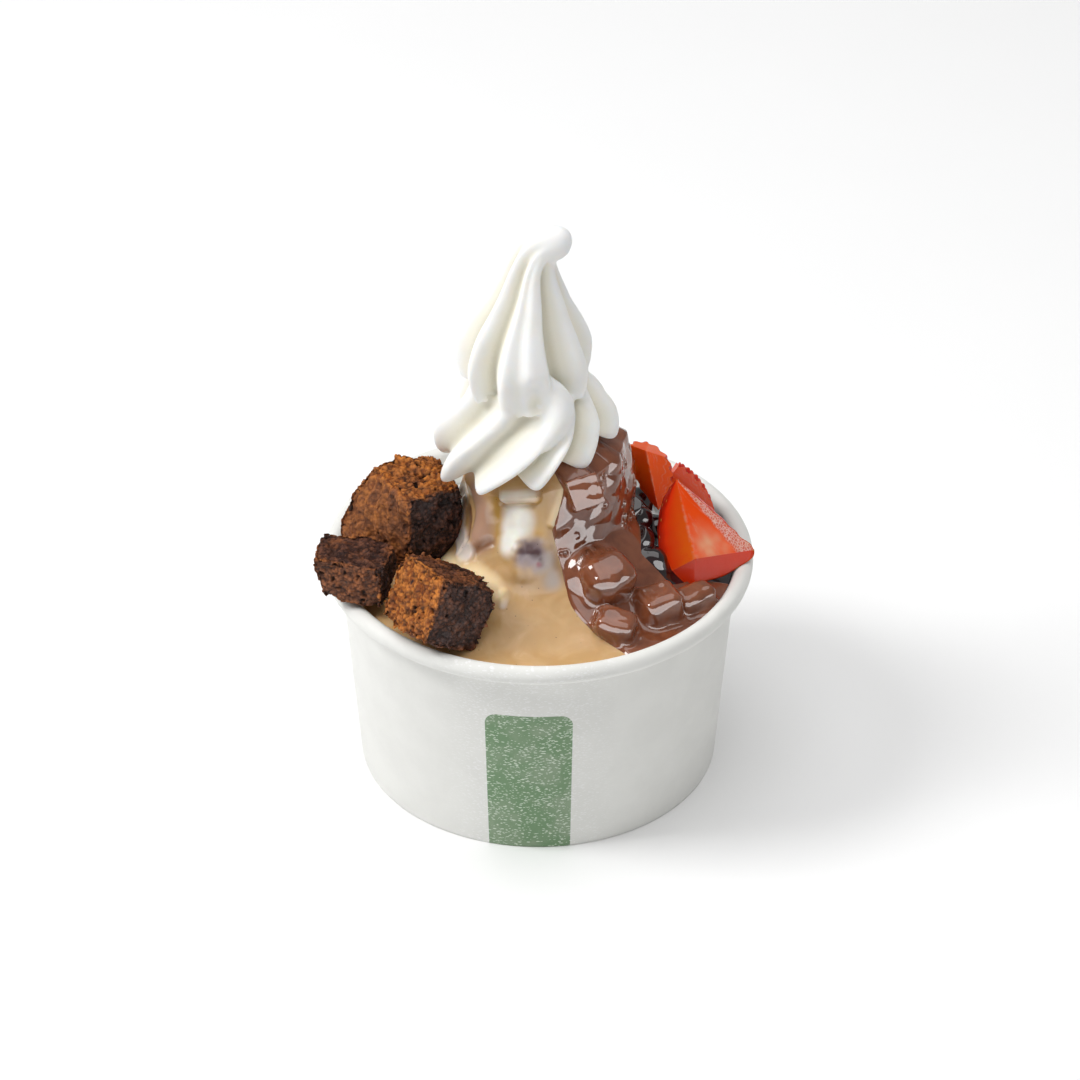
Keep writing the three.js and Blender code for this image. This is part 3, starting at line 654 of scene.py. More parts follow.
def strawberry_finish():
    berry = Finish(
        "strawberry_flesh",
        Roughness=0.22,
        IOR=1.42,
        Subsurface_Weight=0.45,
        Subsurface_Radius=(1.0, 0.28, 0.12),
        Subsurface_Scale=1.6 * MM,
        Specular_IOR_Level=0.1,
        Coat_Weight=0.06,
        Coat_Roughness=0.06,
    )
    flesh = berry.value("flesh")
    warm = berry.value("warm")
    cloud = berry.noise(2.2, 3.0, 0.55)
    cut = berry.mix(warm, linear(0xFA2A08), linear(0xFF6E10))
    cut = berry.mix(berry.times(berry.span(cloud, 0.45, 0.75), 0.3), cut, linear(0xFF4A1C))
    vein = berry.times(berry.value("vein"), berry.span(berry.noise(1.1, 3.0), 0.3, 0.7))
    cut = berry.mix(vein, cut, linear(0xF3987A))
    cut = berry.mix(berry.value("core"), cut, linear(0xF6BE98))
    cut = berry.mix(berry.value("dark"), cut, linear(0xC01A04))
    skin = berry.two_tone(cloud, 0.3, 0.75, 0xC01A0C, 0xD93212)
    skin = berry.mix(berry.value("seed"), skin, linear(0xD9A050))
    both = berry.mix(flesh, skin, cut)
    mesh_lines = berry.cells(0.75, feature="DISTANCE_TO_EDGE")
    lines = berry.span(mesh_lines, 0.02, 0.14, 1.0, 0.0)
    strip = berry.mix(berry.times(lines, 0.75), linear(0xE27A66), linear(0xF8DCD2))
    berry.colour(berry.mix(berry.value("strip"), both, strip))
    berry.bump(berry.noise(0.7, 3.0, 0.6), 0.07)
    return berry.material


def floor_finish():
    floor = Finish("pale_floor", Roughness=0.9)
    grain = floor.noise(60.0, 2.0, 0.5)
    floor.colour(floor.mix(grain, linear(0xFBFBFB), linear(0xF9F9F9)))
    return floor.material


# ---- The cup --------------------------------------------------------------------------------
def inner_wall(z):
    return BASE_RADIUS - BOARD + WALL_SLOPE * np.minimum(z, BEAD_HEIGHT)


CUP_COLUMNS = 256
BEAD_START = 205
SEAM_AZIMUTH = 93
SEAM_STEP = 0.28
OUT_OF_ROUND = 0.12
OUT_OF_THIRDS = 0.07


def paper_cup():
    """One closed skin of revolution, from the underside of the bottom disc round to its top."""
    outline = [[0.02, BASE_RECESS], [20, BASE_RECESS], [40, BASE_RECESS]]
    inner_foot = BASE_RADIUS - FOOT_WIDTH
    outline += [[inner_foot - 0.5, BASE_RECESS], [inner_foot, BASE_RECESS - 0.5], [inner_foot, 0.3]]
    outline += [[inner_foot + 0.25, 0], [BASE_RADIUS - 0.25, 0], [BASE_RADIUS, 0.25]]
    for share in np.linspace(0.02, 0.98, 26):
        z = share * (BEAD_HEIGHT - 1)
        outline.append([BASE_RADIUS + WALL_SLOPE * z, z])
    for turn in np.linspace(BEAD_START, 540, 30):
        outline.append([BEAD_CENTRE + BEAD_RADIUS * cosd(turn), BEAD_HEIGHT + BEAD_RADIUS * sind(turn)])
    for z in np.linspace(BEAD_HEIGHT - 2.5, FLOOR_HEIGHT + 1, 24):
        outline.append([inner_wall(z), z])
    outline += [[inner_wall(FLOOR_HEIGHT) - 1, FLOOR_HEIGHT], [20, FLOOR_HEIGHT], [0.02, FLOOR_HEIGHT]]
    outline = np.array(outline)
    azimuth = 90 + around(CUP_COLUMNS)
    radius = outline[:, :1] + 0 * azimuth
    z = outline[:, 1:] + 0 * azimuth
    # The side seam behind: the board's outer end lies over its start as a step that fades out.
    outer = (outline[:, :1] > BASE_RADIUS - 0.1) & (z > 0.5) & (z < BEAD_HEIGHT - 1.5)
    past_seam = (azimuth - SEAM_AZIMUTH) % 360
    lap = smooth(past_seam, 0, 0.7) * (1 - smooth(past_seam, 5, 24))
    radius = radius + np.where(outer, SEAM_STEP * lap, 0)
    # Board is never quite round.
    wave = OUT_OF_ROUND * cosd(2 * azimuth + 40) + OUT_OF_THIRDS * cosd(3 * azimuth - 70)
    radius = radius + wave * smooth(z, 8, BEAD_HEIGHT) * (outline[:, :1] > 45)
    points, faces = ringed(polar(radius, azimuth, z))
    return faced_out(mesh_from("paper_cup_board", points, faces))


# ---- The dressed surface of the filling -----------------------------------------------------
# It runs from the wall (up = 0) over the sloping pool and up the column (up = 1).
TEETH_HEIGHT = 97
TEETH_TILT = 5.5
TEETH_HIGHEST = -18
BACK_AZIMUTH = 88
LEFT_AZIMUTH = 172


def teeth_height(azimuth):
    return TEETH_HEIGHT + TEETH_TILT * cosd(azimuth - TEETH_HIGHEST)


def behind(azimuth):
    return 1 - smooth(np.abs(turn_from(BACK_AZIMUTH, azimuth)), 28, 75)


def leftward(azimuth):
    return 1 - smooth(np.abs(turn_from(LEFT_AZIMUTH, azimuth)), 30, 62)


# Azimuth, up, rise and half-widths in degrees and up.
MOUNDS = [
    (-126, 0.36, 2.6, 15, 0.1),
    (-60, 0.34, 1.8, 16, 0.13),
    (-28, 0.3, 1.4, 14, 0.12),
    (-84, 0.72, 1.2, 8, 0.14),
    (-104, 0.76, 1.2, 8, 0.16),
    (-132, 0.72, 1.6, 9, 0.16),
] + [(azimuth, 0.7, 1.8, 7, 0.24) for azimuth in (75, 97, 119, 141, 163)]


def patches(azimuth, up, rows):
    """The sum of soft patches, each an azimuth, up, strength and half-widths in degrees and up."""
    total = np.zeros(np.broadcast(azimuth, up).shape)
    for centre, place, strength, wide, high in rows:
        total += strength * bell(turn_from(centre, azimuth), 0, wide) * bell(up, place, high)
    return total


# The slope from the wall to the column's foot: distance in and rise at each step.
FRONT_SLOPE = [(8, 1.6), (15.5, 5), (22, 10.5), (26.8, 17.5)]
BACK_SLOPE = [(6, 0.6), (14, 2.2), (22, 7), (27, 17)]
LEFT_SLOPE = [(8, 0.8), (16, 2), (23.5, 4.6), (29.4, 11)]


def dressed(azimuth, up, depth=0.0):
    """The dressed surface lowered by a depth, as points."""
    azimuth, up = np.broadcast_arrays(np.asarray(azimuth, float), np.asarray(up, float))
    back, left = behind(azimuth), leftward(azimuth)
    column = mix(COLUMN_LEFT, COLUMN_RIGHT, (1 + cosd(azimuth)) / 2)
    fill = mix(FILL_FRONT, FILL_BACK, back)
    wall = inner_wall(fill) - GAP
    top = teeth_height(azimuth) - TOP_CLEARANCE
    profile = [(wall, fill)]
    for front, rear, side in zip(FRONT_SLOPE, BACK_SLOPE, LEFT_SLOPE):
        inwards, rise = (mix(mix(front[k], rear[k], back), side[k], left) for k in (0, 1))
        profile.append((wall - inwards, fill + rise))
    foot = profile[-1][1]
    profile.append((column, mix(foot, top, 0.4)))
    profile.append((column - 0.8, mix(foot, top, 0.72)))
    profile.append((mix(column, COLUMN_LEFT, 0.6), top))
    controls = np.stack([np.stack(pair, axis=-1) for pair in profile])
    here = along_curve(controls, up)
    ahead = along_curve(controls, up + 0.01) - along_curve(controls, up - 0.01)
    out = unit_of(np.stack([ahead[..., 1], -ahead[..., 0]], axis=-1))
    rise = patches(azimuth, up, MOUNDS) * smooth(up, 0, 0.15)
    here = here + out * (rise - depth)[..., None]
    radius = np.minimum(here[..., 0], inner_wall(here[..., 1]) - GAP)
    return polar(radius, azimuth, here[..., 1])


def carried_up(sheet):
    """The sheet with rows added above its top row, which run in under the swirl."""
    top = sheet[-1:]
    azimuth = np.degrees(np.arctan2(top[..., 1], top[..., 0]))
    goal = polar(TUCK_RADIUS, azimuth, teeth_height(azimuth) + TUCK_RISE)
    goal[..., 0] += SWIRL_SHIFT
    share = np.linspace(0, 1, TUCK_ROWS)[1:, None, None]
    return np.concatenate([sheet, mix(top, goal, share)])


def painted(points, path, half_width, soft):
    """From 0 to 1 how far each point lies in a band along a path of azimuths and ups."""
    line = dressed(*np.array(path, float).T)
    nearest = np.full(points.shape[:-1], np.inf)
    for start, end in zip(line, line[1:]):
        way = end - start
        along = np.clip((points - start) @ way / (way @ way), 0, 1)
        away = np.linalg.norm(points - start - along[..., None] * way, axis=-1)
        nearest = np.minimum(nearest, away)
    return 1 - smooth(nearest, half_width - soft, half_width + soft)


def spotted(points, place, radius, soft):
    """From 0 to 1 how far each point lies in a spot round the one nearest to a place."""
    nearest = np.linalg.norm(points - np.array(place), axis=-1).argmin()
    away = np.linalg.norm(points - points.reshape(-1, 3)[nearest], axis=-1)
    away = away + 0.7 * rough(points, 2.4, 2, 53)
    return 1 - smooth(away, radius - soft, radius + soft)


def sheet_normals(sheet):
    """Unit normals of a sheet of points, on the side that faces up and out."""
    across = np.gradient(sheet, axis=1)
    along = np.gradient(sheet, axis=0)
    normal = np.cross(across, along)
    normal /= np.linalg.norm(normal, axis=-1, keepdims=True) + 1e-9
    return normal


# ---- Sauces ---------------------------------------------------------------------------------
CARAMEL_EDGE = [(0, -64), (0.4, -77), (0.7, -83), (1, -76)]
COMPOTE_EDGE = [(0, -16), (0.13, -18), (0.24, -31), (0.42, -30), (0.53, -14), (0.74, 12)]
SAUCES = {
    "caramel": {
        "start": [(0, -200), (0.4, -222), (1, -238)],
        "end": CARAMEL_EDGE,
        "top": 1.0,
    },
    "chocolate": {
        "start": CARAMEL_EDGE,
        "end": COMPOTE_EDGE + [(1, 45)],
        "top": 1.0,
    },
    "compote": {
        "start": COMPOTE_EDGE,
        "end": [(0, 70), (0.3, 73), (0.45, 70), (0.68, 48)],
        "top": 0.66,
    },
}
EDGE_TURN = 20
EDGE_UP = 0.14
UNDER_GAP = 0.75
TUCK_ROWS = 13


def sauce_depth(sauce, azimuth, up):
    """How deep the sauce is: thin at its edges and on the column."""
    from_start = azimuth - graded(up, sauce["start"])
    to_end = graded(up, sauce["end"]) - azimuth
    edge = np.minimum(from_start, to_end)
    full = mix(POOL_DEPTH, COAT_DEPTH, smooth(up, 0.25, 0.7))
    top_edge = smooth(sauce["top"] - up, 0, EDGE_UP) if sauce["top"] < 1 else 1.0
    return mix(EDGE_DEPTH, full, smooth(edge, 0, EDGE_TURN) * top_edge)


def yogurt_depth(azimuth, up):
    """How far the yogurt lies under the dressed surface, to leave room for the sauces."""
    depth = np.zeros(np.broadcast(azimuth, up).shape)
    for sauce in SAUCES.values():
        start, end = graded(up, sauce["start"]), graded(up, sauce["end"])
        centre = (start + end) / 2
        near = centre + turn_from(centre, azimuth)
        across = np.minimum(near - start, end - near)
        covered = smooth(across, -6, -2) * (1 - smooth(up, sauce["top"] + 0.03, sauce["top"] + 0.08))
        depth = np.maximum(depth, covered * (sauce_depth(sauce, near, up) + UNDER_GAP))
    return depth


def sauce_grid(sauce, columns, rows, start_margin=0.0, end_margin=0.0):
    """Azimuths and ups of a grid over a sauce, past its edges by the margins."""
    up = np.linspace(0, sauce["top"], rows)[:, None]
    across = np.linspace(0, 1, columns)[None, :]
    start = graded(up, sauce["start"]) - start_margin
    end = graded(up, sauce["end"]) + end_margin
    return mix(start, end, across), up + 0 * across, across + 0 * up


# ---- Frozen yogurt --------------------------------------------------------------------------
LOWER_RISE = 21.0
LOWER_PROFILE = [
    (17.5, 3.4),
    (21.5, 0.8),
    (24, 1),
    (24.3, 4.6),
    (22.8, 9.4),
    (19.2, 14.4),
    (16.6, 18.2),
    (15.8, LOWER_RISE),
]
TOOTH_DEPTH = 4.9
TOOTH_DROOP = 3.9
HEM_RISE_FROM = -66
HEM_RISE = 2.2
# Slots under the upper tier's edge where the yogurt is painted yellow shade: azimuth and half-width.
SHADED_SLOTS = [(-88, 9), (-32, 6)]


def even_lines(start, end, count):
    """Lines between two crests, each a pair of azimuths at heights 0 and 1: grooves, crests."""
    lines = []
    for k in range(1, 2 * count):
        low, high = (mix(a, b, k / (2 * count)) for a, b in zip(start, end))
        lines.append((1.0 - k % 2, [(0, low), (1, high)]))
    return lines


# Crests (1) and grooves (0) round each tier, as azimuths by height.
LOWER_LINES = [
    (1.0, [(0, -157), (0.2, -147), (0.45, -134.5), (0.69, -121), (0.89, -106.5), (1, -102)]),
    (0.0, [(0, -138), (0.17, -129), (0.53, -109), (0.7, -95), (1, -88)]),
    (1.0, [(0, -123), (0.24, -99), (0.49, -80.5), (0.67, -69), (0.84, -65.5), (1, -73.5)]),
    (0.0, [(0, -103), (0.23, -84), (0.53, -67.5), (0.77, -57), (1, -57)]),
    (1.0, [(0, -84), (0.24, -73), (0.6, -54.5), (0.77, -47), (1, -45)]),
    (0.0, [(0, -67), (0.37, -52.5), (0.61, -40.5), (0.82, -31.5), (1, -28)]),
    (1.0, [(0, -50), (0.38, -38.5), (0.61, -28), (1, -14)]),
    (0.0, [(0, -33), (0.3, -24), (0.6, -15), (1, 0)]),
    (1.0, [(0, -16), (0.29, -11), (0.55, -5), (1, 14)]),
] + even_lines((-16, 14), (203, 258), 5)
UPPER_LINES = [
    (1.0, [(0, -138), (0.26, -140.5), (0.6, -145), (1, -145)]),
    (0.0, [(0, -128), (0.2, -126), (0.37, -121.5), (0.55, -119.5), (1, -112)]),
    (0.9, [(0, -109.5), (0.3, -107), (0.64, -104), (1, -104)]),
    (0.72, [(0, -97), (0.28, -95), (0.59, -95.5), (1, -96)]),
    (1.0, [(0, -84), (0.3, -85), (0.6, -86), (1, -88)]),
    (0.92, [(0, -68), (0.3, -71), (0.56, -71), (1, -78)]),
    (0.0, [(0, -55), (0.29, -61), (0.55, -62), (1, -64)]),
    (1.0, [(0, -30), (0.24, -31), (0.54, -27), (1, -30)]),
] + even_lines((-30, -30), (222, 215), 5)


def lower_tier(azimuth, share):
    """Points of the lower tier and its painted shade, from 0 to 1: how deep each lies in a groove, and the
    shaded slots.
    """
    radius, rise = np.moveaxis(curve_through(LOWER_PROFILE, share), -1, 0)
    height = np.clip(rise / LOWER_RISE, 0, 1)
    ridge = relief(azimuth, height, LOWER_LINES)
    open_share = smooth(share, 0.02, 0.2) * mix(1, 0.4, smooth(share, 0.65, 1))
    out = radius + 0.5 - TOOTH_DEPTH * open_share * (1 - ridge)
    droop = TOOTH_DROOP * smooth(share, 0, 0.15) * (1 - smooth(share, 0.2, 0.55))
    z = mix(teeth_height(azimuth), WAIST_HEIGHT, rise / LOWER_RISE) + droop * (0.4 - ridge)
    past = turn_from(HEM_RISE_FROM, azimuth)
    z += HEM_RISE * smooth(past, 0, 30) * (1 - smooth(past, 90, 130)) * (1 - rise / LOWER_RISE)
    point = polar(out, azimuth, z)
    point[..., 0] += SWIRL_SHIFT
    # Painted shade: deeper in the grooves, and yellow in the slots under the upper tier's edge.
    groove_shade = 0.85 * (1 - ridge) * smooth(share, 0, 0.15)
    for centre, wide in SHADED_SLOTS:
        groove_shade = np.maximum(groove_shade, bell(turn_from(centre, azimuth), 0, wide) * smooth(share, 0.72, 0.83))
    return point, groove_shade


CENTRE_LINE = [
    (-3.2, 0, 118.4),
    (-3.6, 0, 127),
    (-3.5, 0, 135),
    (-2.5, 0, 143),
    (-1.5, 0, 150.8),
    (0.6, 0, 155.8),
    (4.3, 0, 157.5),
    (8.4, 0, 156.3),
]
PEAK_RADIUS = [
    (0, 16.8),
    (0.07, 18.4),
    (0.18, 18.4),
    (0.32, 15.8),
    (0.46, 11.9),
    (0.6, 8.7),
    (0.72, 6.6),
    (0.82, 5.5),
    (0.9, 4.8),
    (0.96, 3.8),
    (0.99, 2.0),
    (1, 0),
]
SKIRT_SHARE = 0.1
SKIRT_DROOP = 2.6
# The skirt hangs lowest at the front, beside a dent: azimuth, half-width and measure. The dent is also
# painted shade: its half-width and strength.
FRONT_DROOP = (-96, 12, 1.8)
DENT = (-81, 10, 2.5)
DENT_SHADE = (8, 0.62)
UPPER_DEPTH = 0.33
JOIN_HEIGHTS = (109, 113, 120, 124)
JOIN_ROUNDS = 16
VOXEL = 0.42
VOXEL_ROUNDS = 5
SWIRL_COLUMNS = 504
CURVE_STEPS = 800


def by_length(points, share):
    """Points and directions of a curve at shares of its length."""
    fine = curve_through(points, np.linspace(0, 1, CURVE_STEPS))
    length = np.concatenate([[0], np.cumsum(np.linalg.norm(np.diff(fine, axis=0), axis=1))])
    share = np.clip(share, 0, 1)
    at = [np.interp(share * length[-1], length, fine[:, axis]) for axis in range(3)]
    slope = unit_of(np.gradient(fine, axis=0))
    way = [np.interp(share * length[-1], length, slope[:, axis]) for axis in range(3)]
    return np.stack(at, axis=-1), np.stack(way, axis=-1)


def upper_tier(azimuth, share):
    """Points of the upper tier and its painted shade, from 0 to 1: how deep each lies in a groove, in the
    dent and under the skirt.
    """
    along = np.clip((share - SKIRT_SHARE) / (1 - SKIRT_SHARE), 0, 1)
    under = 1 - np.clip(share / SKIRT_SHARE, 0, 1)
    centre, way = by_length(CENTRE_LINE, along)
    tilt = smooth(along, 0.5, 0.78)[..., None]
    facing = unit_of(mix(np.array([0.0, 0.0, 1.0]), way, tilt))
    right = np.stack([facing[..., 2], 0 * along, -facing[..., 0]], axis=-1)
    ridge = relief(azimuth, along, UPPER_LINES)
    radius = graph(along, PEAK_RADIUS) - 3 * under
    fade = 1 - smooth(along, 0.7, 0.92)
    out = radius * (1 - UPPER_DEPTH * fade * (1 - ridge))
    dent_azimuth, dent_width, dent_depth = DENT
    past_dent = turn_from(dent_azimuth, azimuth)
    dent = dent_depth * bell(past_dent, 0, dent_width)
    out = out - dent * smooth(along, 0.005, 0.05) * (1 - smooth(along, 0.1, 0.22))
    droop = SKIRT_DROOP * (1 - smooth(along, 0, 0.14)) * (1 - 0.7 * under)
    point = centre + right * (out * cosd(azimuth))[..., None]
    point[..., 1] += out * sind(azimuth)
    point[..., 2] -= droop * ridge
    front_azimuth, front_width, front_droop = FRONT_DROOP
    front = bell(turn_from(front_azimuth, azimuth), 0, front_width) * (1 - 0.5 * under)
    point[..., 2] -= front_droop * front * (1 - smooth(along, 0, 0.16))
    # Painted shade: in the grooves, in the dent at the front and under the skirt.
    tint_width, tint = DENT_SHADE
    shaded = tint * bell(past_dent, 0, tint_width) * bell(along, 0.05, 0.05)
    groove_shade = np.maximum(0.85 * (1 - ridge) * fade, shaded)
    return point, np.maximum(groove_shade, smooth(under, 0.2, 0.7))


# The ridge that curls up over the skirt's edge: its middle line and its radius.
HOOK = [
    ((2.4, -11.8, 124.8), 0.8),
    ((3.3, -12.9, 123.4), 1.8),
    ((4.8, -14.0, 121.2), 2.8),
    ((5.9, -14.7, 118.0), 3.5),
    ((5.3, -15.9, 114.4), 3.5),
    ((3.3, -17.9, 111.4), 2.8),
    ((0.9, -19.3, 108.8), 2.0),
    ((-1.6, -20.0, 106.2), 0.5),
]
HOOK_ROWS, HOOK_COLUMNS = 70, 40


def hook():
    """The curled ridge as rings along its middle line."""
    path = np.array([centre for centre, _ in HOOK], float)
    stations = np.linspace(0, 1, len(HOOK))
    t = np.linspace(0, 1, HOOK_ROWS)
    centre = curve_through(path, t)
    radius = np.maximum(graph(t, list(zip(stations, [r for _, r in HOOK]))), 0.3)
    way = unit_of(np.gradient(centre, axis=0))
    outward = centre * np.array([1, 1, 0]) - np.array([SWIRL_SHIFT, 0, 0])
    first = unit_of(np.cross(way, outward))
    second = np.cross(first, way)
    turn = around(HOOK_COLUMNS)[None, :, None]
    spread = first[:, None] * cosd(turn) + second[:, None] * sind(turn)
    return centre[:, None] + radius[:, None, None] * spread


def swirl():
    """Both tiers and the curled ridge fused into one skin."""
    azimuth = around(SWIRL_COLUMNS)[None, :]
    points, faces, groove_shades = [], [], []
    curl = hook()
    sheets = [(curl, 0 * curl[..., 0])]
    for tier, end, rows in ((lower_tier, 1, 130), (upper_tier, 0.999, 240)):
        shares = np.linspace(0, end, rows)[:, None]
        sheets.append(tier(azimuth + 0 * shares, shares + 0 * azimuth))
    for sheet, groove_shade in sheets:
        rows, skin = ringed(sheet)
        first = sum(map(len, points))
        faces += [[i + first for i in face] for face in skin]
        points.append(rows)
        groove_shades.append(ringed_values(groove_shade))
    points, groove_shades = np.concatenate(points), np.concatenate(groove_shades)
    piece = fused(mesh_from("swirl", points, faces), VOXEL, VOXEL_ROUNDS)
    blend_in(piece, JOIN_HEIGHTS, JOIN_ROUNDS)
    # The skin takes the painted groove shade of the nearest sheet point.
    set_value(piece, "groove_shade", carried(points, groove_shades, points_of(piece)))
    return piece


def blend_in(piece, heights, rounds):
    """Softens the creases of a piece at the middle heights, where its two forms meet."""
    points = points_of(piece)
    edges = np.zeros(2 * len(piece.data.edges), np.int32)
    piece.data.edges.foreach_get("vertices", edges)
    ends = edges.reshape(-1, 2)
    low, start, stop, high = heights
    share = smooth(points[:, 2], low, start) * (1 - smooth(points[:, 2], stop, high))
    count = np.bincount(ends.ravel(), minlength=len(points))
    for _ in range(rounds):
        total = np.zeros_like(points)
        for axis in range(3):
            total[:, axis] = np.bincount(ends[:, 0], points[ends[:, 1], axis], len(points))
            total[:, axis] += np.bincount(ends[:, 1], points[ends[:, 0], axis], len(points))
        even = total / np.maximum(count, 1)[:, None]
        points = mix(points, even, 0.5 * share[:, None])
    set_points(piece, points)


def carried(points, values, places):
    """The value of the nearest of the points for each place."""
    tree = KDTree(len(points))
    for i, point in enumerate(points):
        tree.insert(point, i)
    tree.balance()
    return values[[tree.find(place)[1] for place in places]]


def fused(piece, voxel, rounds):
    """The piece's closed forms joined into one skin of even faces, smoothed where they meet."""
    fuse = piece.modifiers.new("fuse", "REMESH")
    fuse.mode = "VOXEL"
    fuse.voxel_size = voxel * MM
    fuse.use_smooth_shade = True
    soften = piece.modifiers.new("soften", "SMOOTH")
    soften.factor = 0.5
    soften.iterations = rounds
    shape = piece.evaluated_get(bpy.context.evaluated_depsgraph_get())
    mesh = bpy.data.meshes.new_from_object(shape)
    old = piece.data
    piece.modifiers.clear()
    piece.data = mesh
    bpy.data.meshes.remove(old)
    mesh.name = piece.name
    mesh.shade_smooth()
    return piece


def points_of(piece):
    data = np.zeros(len(piece.data.vertices) * 3, np.float32)
    piece.data.vertices.foreach_get("co", data)
    return data.reshape(-1, 3).astype(float) / MM


def set_points(piece, points):
    piece.data.vertices.foreach_set("co", (points * MM).astype(np.float32).ravel())
    piece.data.update()


FILLING_COLUMNS = 360


def yogurt_filling():
    """The filling: the cup's floor, its wall, the sloping top and the column inside the swirl."""
    azimuth = around(FILLING_COLUMNS)[None, :]
    rows = []
    rim = dressed(azimuth, 0 * azimuth, yogurt_depth(azimuth, 0 * azimuth))[..., 2]
    for share in (0, 0.33, 0.66):
        z = mix(FLOOR_HEIGHT + GAP, rim, share)
        radius = inner_wall(z) - GAP
        rows.append(polar(radius, azimuth, z))
    for up in np.linspace(0, 1, 130):
        level = up + 0 * azimuth
        sheet = dressed(azimuth, level, yogurt_depth(azimuth, level))
        bare = 1 - smooth(yogurt_depth(azimuth, level), 0, 0.8)
        sheet[..., 2] += 0.35 * bare * rough(sheet, 7.0, 3, 5) * smooth(level, 0, 0.1)
        rows.append(sheet)
    points, faces = ringed(carried_up(np.concatenate(rows)))
    return faced_out(mesh_from("yogurt_filling", points, faces))


# ---- Blocks: brownies and coated chunks -----------------------------------------------------
def unevenness(p, seed):
    """A gentle wave from -1 to 1 over a block."""
    x, y, z = np.moveaxis(p, -1, 0)
    a = np.sin(1.7 * x + 0.9 * y + seed) * np.cos(1.3 * z - 0.6 * x + 2.1 * seed)
    b = np.sin(2.3 * y - 1.1 * z + 1.7 * seed) * np.cos(0.8 * x + 1.9 * y - seed)
    return (a + b) / 2


# Steps along each side of the small blocks, and of the brownies.
SMALL_STEPS = 30
CRUMB_STEPS = 108


def cube_skin(steps):
    """Points and quads of a cube's skin from -0.5 to 0.5, each side cut into steps."""
    place = {}
    points, faces = [], []

    def at(key):
        if key not in place:
            place[key] = len(points)
            points.append([k / steps - 0.5 for k in key])
        return place[key]

    for axis in range(3):
        for end in (0, steps):
            for i in range(steps):
                for j in range(steps):
                    ring = [(i, j), (i + 1, j), (i + 1, j + 1), (i, j + 1)]
                    if (end == 0) != (axis == 1):
                        ring.reverse()
                    keys = []
                    for a, b in ring:
                        key = [a, b]
                        key.insert(axis, end)
                        keys.append(at(tuple(key)))
                    faces.append(keys)
    return np.array(points), faces


FLARE_CURVE = 0.6


def rough_block(skin, block):
    """The skin as a block with softened corners and a gentle unevenness, and its directions."""
    size, rounding = np.array(block["size"]), block["rounding"]
    length = np.linalg.norm(skin, axis=-1, keepdims=True)
    unit = skin / length
    corner = 2 * length - 2 * np.abs(skin).max(axis=-1, keepdims=True)
    p = skin * (1 - rounding * corner) * size
    low = np.clip(0.5 - p[:, 2] / size[2], 0, 1)
    widen = 1 + block.get("flare", 0) * low**FLARE_CURVE * (0.5 + p[:, 1] / size[1])
    widen -= block.get("taper", 0) * low
    p[:, 0] = np.where(p[:, 0] < 0, p[:, 0] * widen, p[:, 0])
    return p + unit * (block["relief"] * unevenness(0.45 * p, block["seed"]))[:, None], unit


BROWNIES = [
    {
        "block": {"size": (16.5, 22, 23.5), "rounding": 0.13, "relief": 0.9, "seed": 1.3, "flare": 1.9},
        "at": (-31.2, -1.5, 76.7),
        "turn": (-2, 1, 25),
        "tones": {"-x": 0.7, "+x": 0.0, "-y": 0.02, "+y": 0.35, "-z": 0.2, "+z": 0.78},
        "crust": {"-x": 0.6},
    },
    {
        "block": {"size": (22, 16, 13.5), "rounding": 0.2, "relief": 0.8, "seed": 4.1, "taper": 0.45},
        "at": (-48.8, -21.6, 71.4),
        "turn": (-2, 3, -14),
        "tones": {"-x": 0.35, "+x": 0.05, "-y": 0.42, "+y": 0.3, "-z": 0.3, "+z": 0.1},
        "crust": {"+z": 0.35, "-x": 0.3},
    },
    {
        "block": {"size": (19, 22.5, 19.5), "rounding": 0.13, "relief": 0.8, "seed": 7.7},
        "at": (-25.6, -37, 71.6),
        "turn": (-23, 20, 37),
        "tones": {"-x": 0.95, "+x": 0.05, "-y": 0.05, "+y": 0.3, "-z": 0.3, "+z": 0.3},
    },
]


def normals_of(points, quads):
    """Unit normals at the points of a closed skin of quads, facing out."""
    quads = np.array(quads)
    corners = points[quads]
    face = np.cross(corners[:, 2] - corners[:, 0], corners[:, 3] - corners[:, 1])
    normal = np.zeros_like(points)
    for k in range(4):
        np.add.at(normal, quads[:, k], face)
    normal *= np.sign((normal * (points - points.mean(0))).sum())
    return unit_of(normal)


def crumbs(points, size, seed, gap=0.72):
    """Rounded crumbs packed together: how proud each point stands, and its crumb's own value."""
    away, kind = cells(points, size, seed)
    return np.sqrt(np.clip(1 - (away / gap) ** 2, 0, 1)), kind


# The crumbs' sizes, from clumps to grains, and what each adds to the seed.
CRUMBS = [(2.1, 0), (0.95, 10), (0.52, 15)]
SEEDS_APART = 50


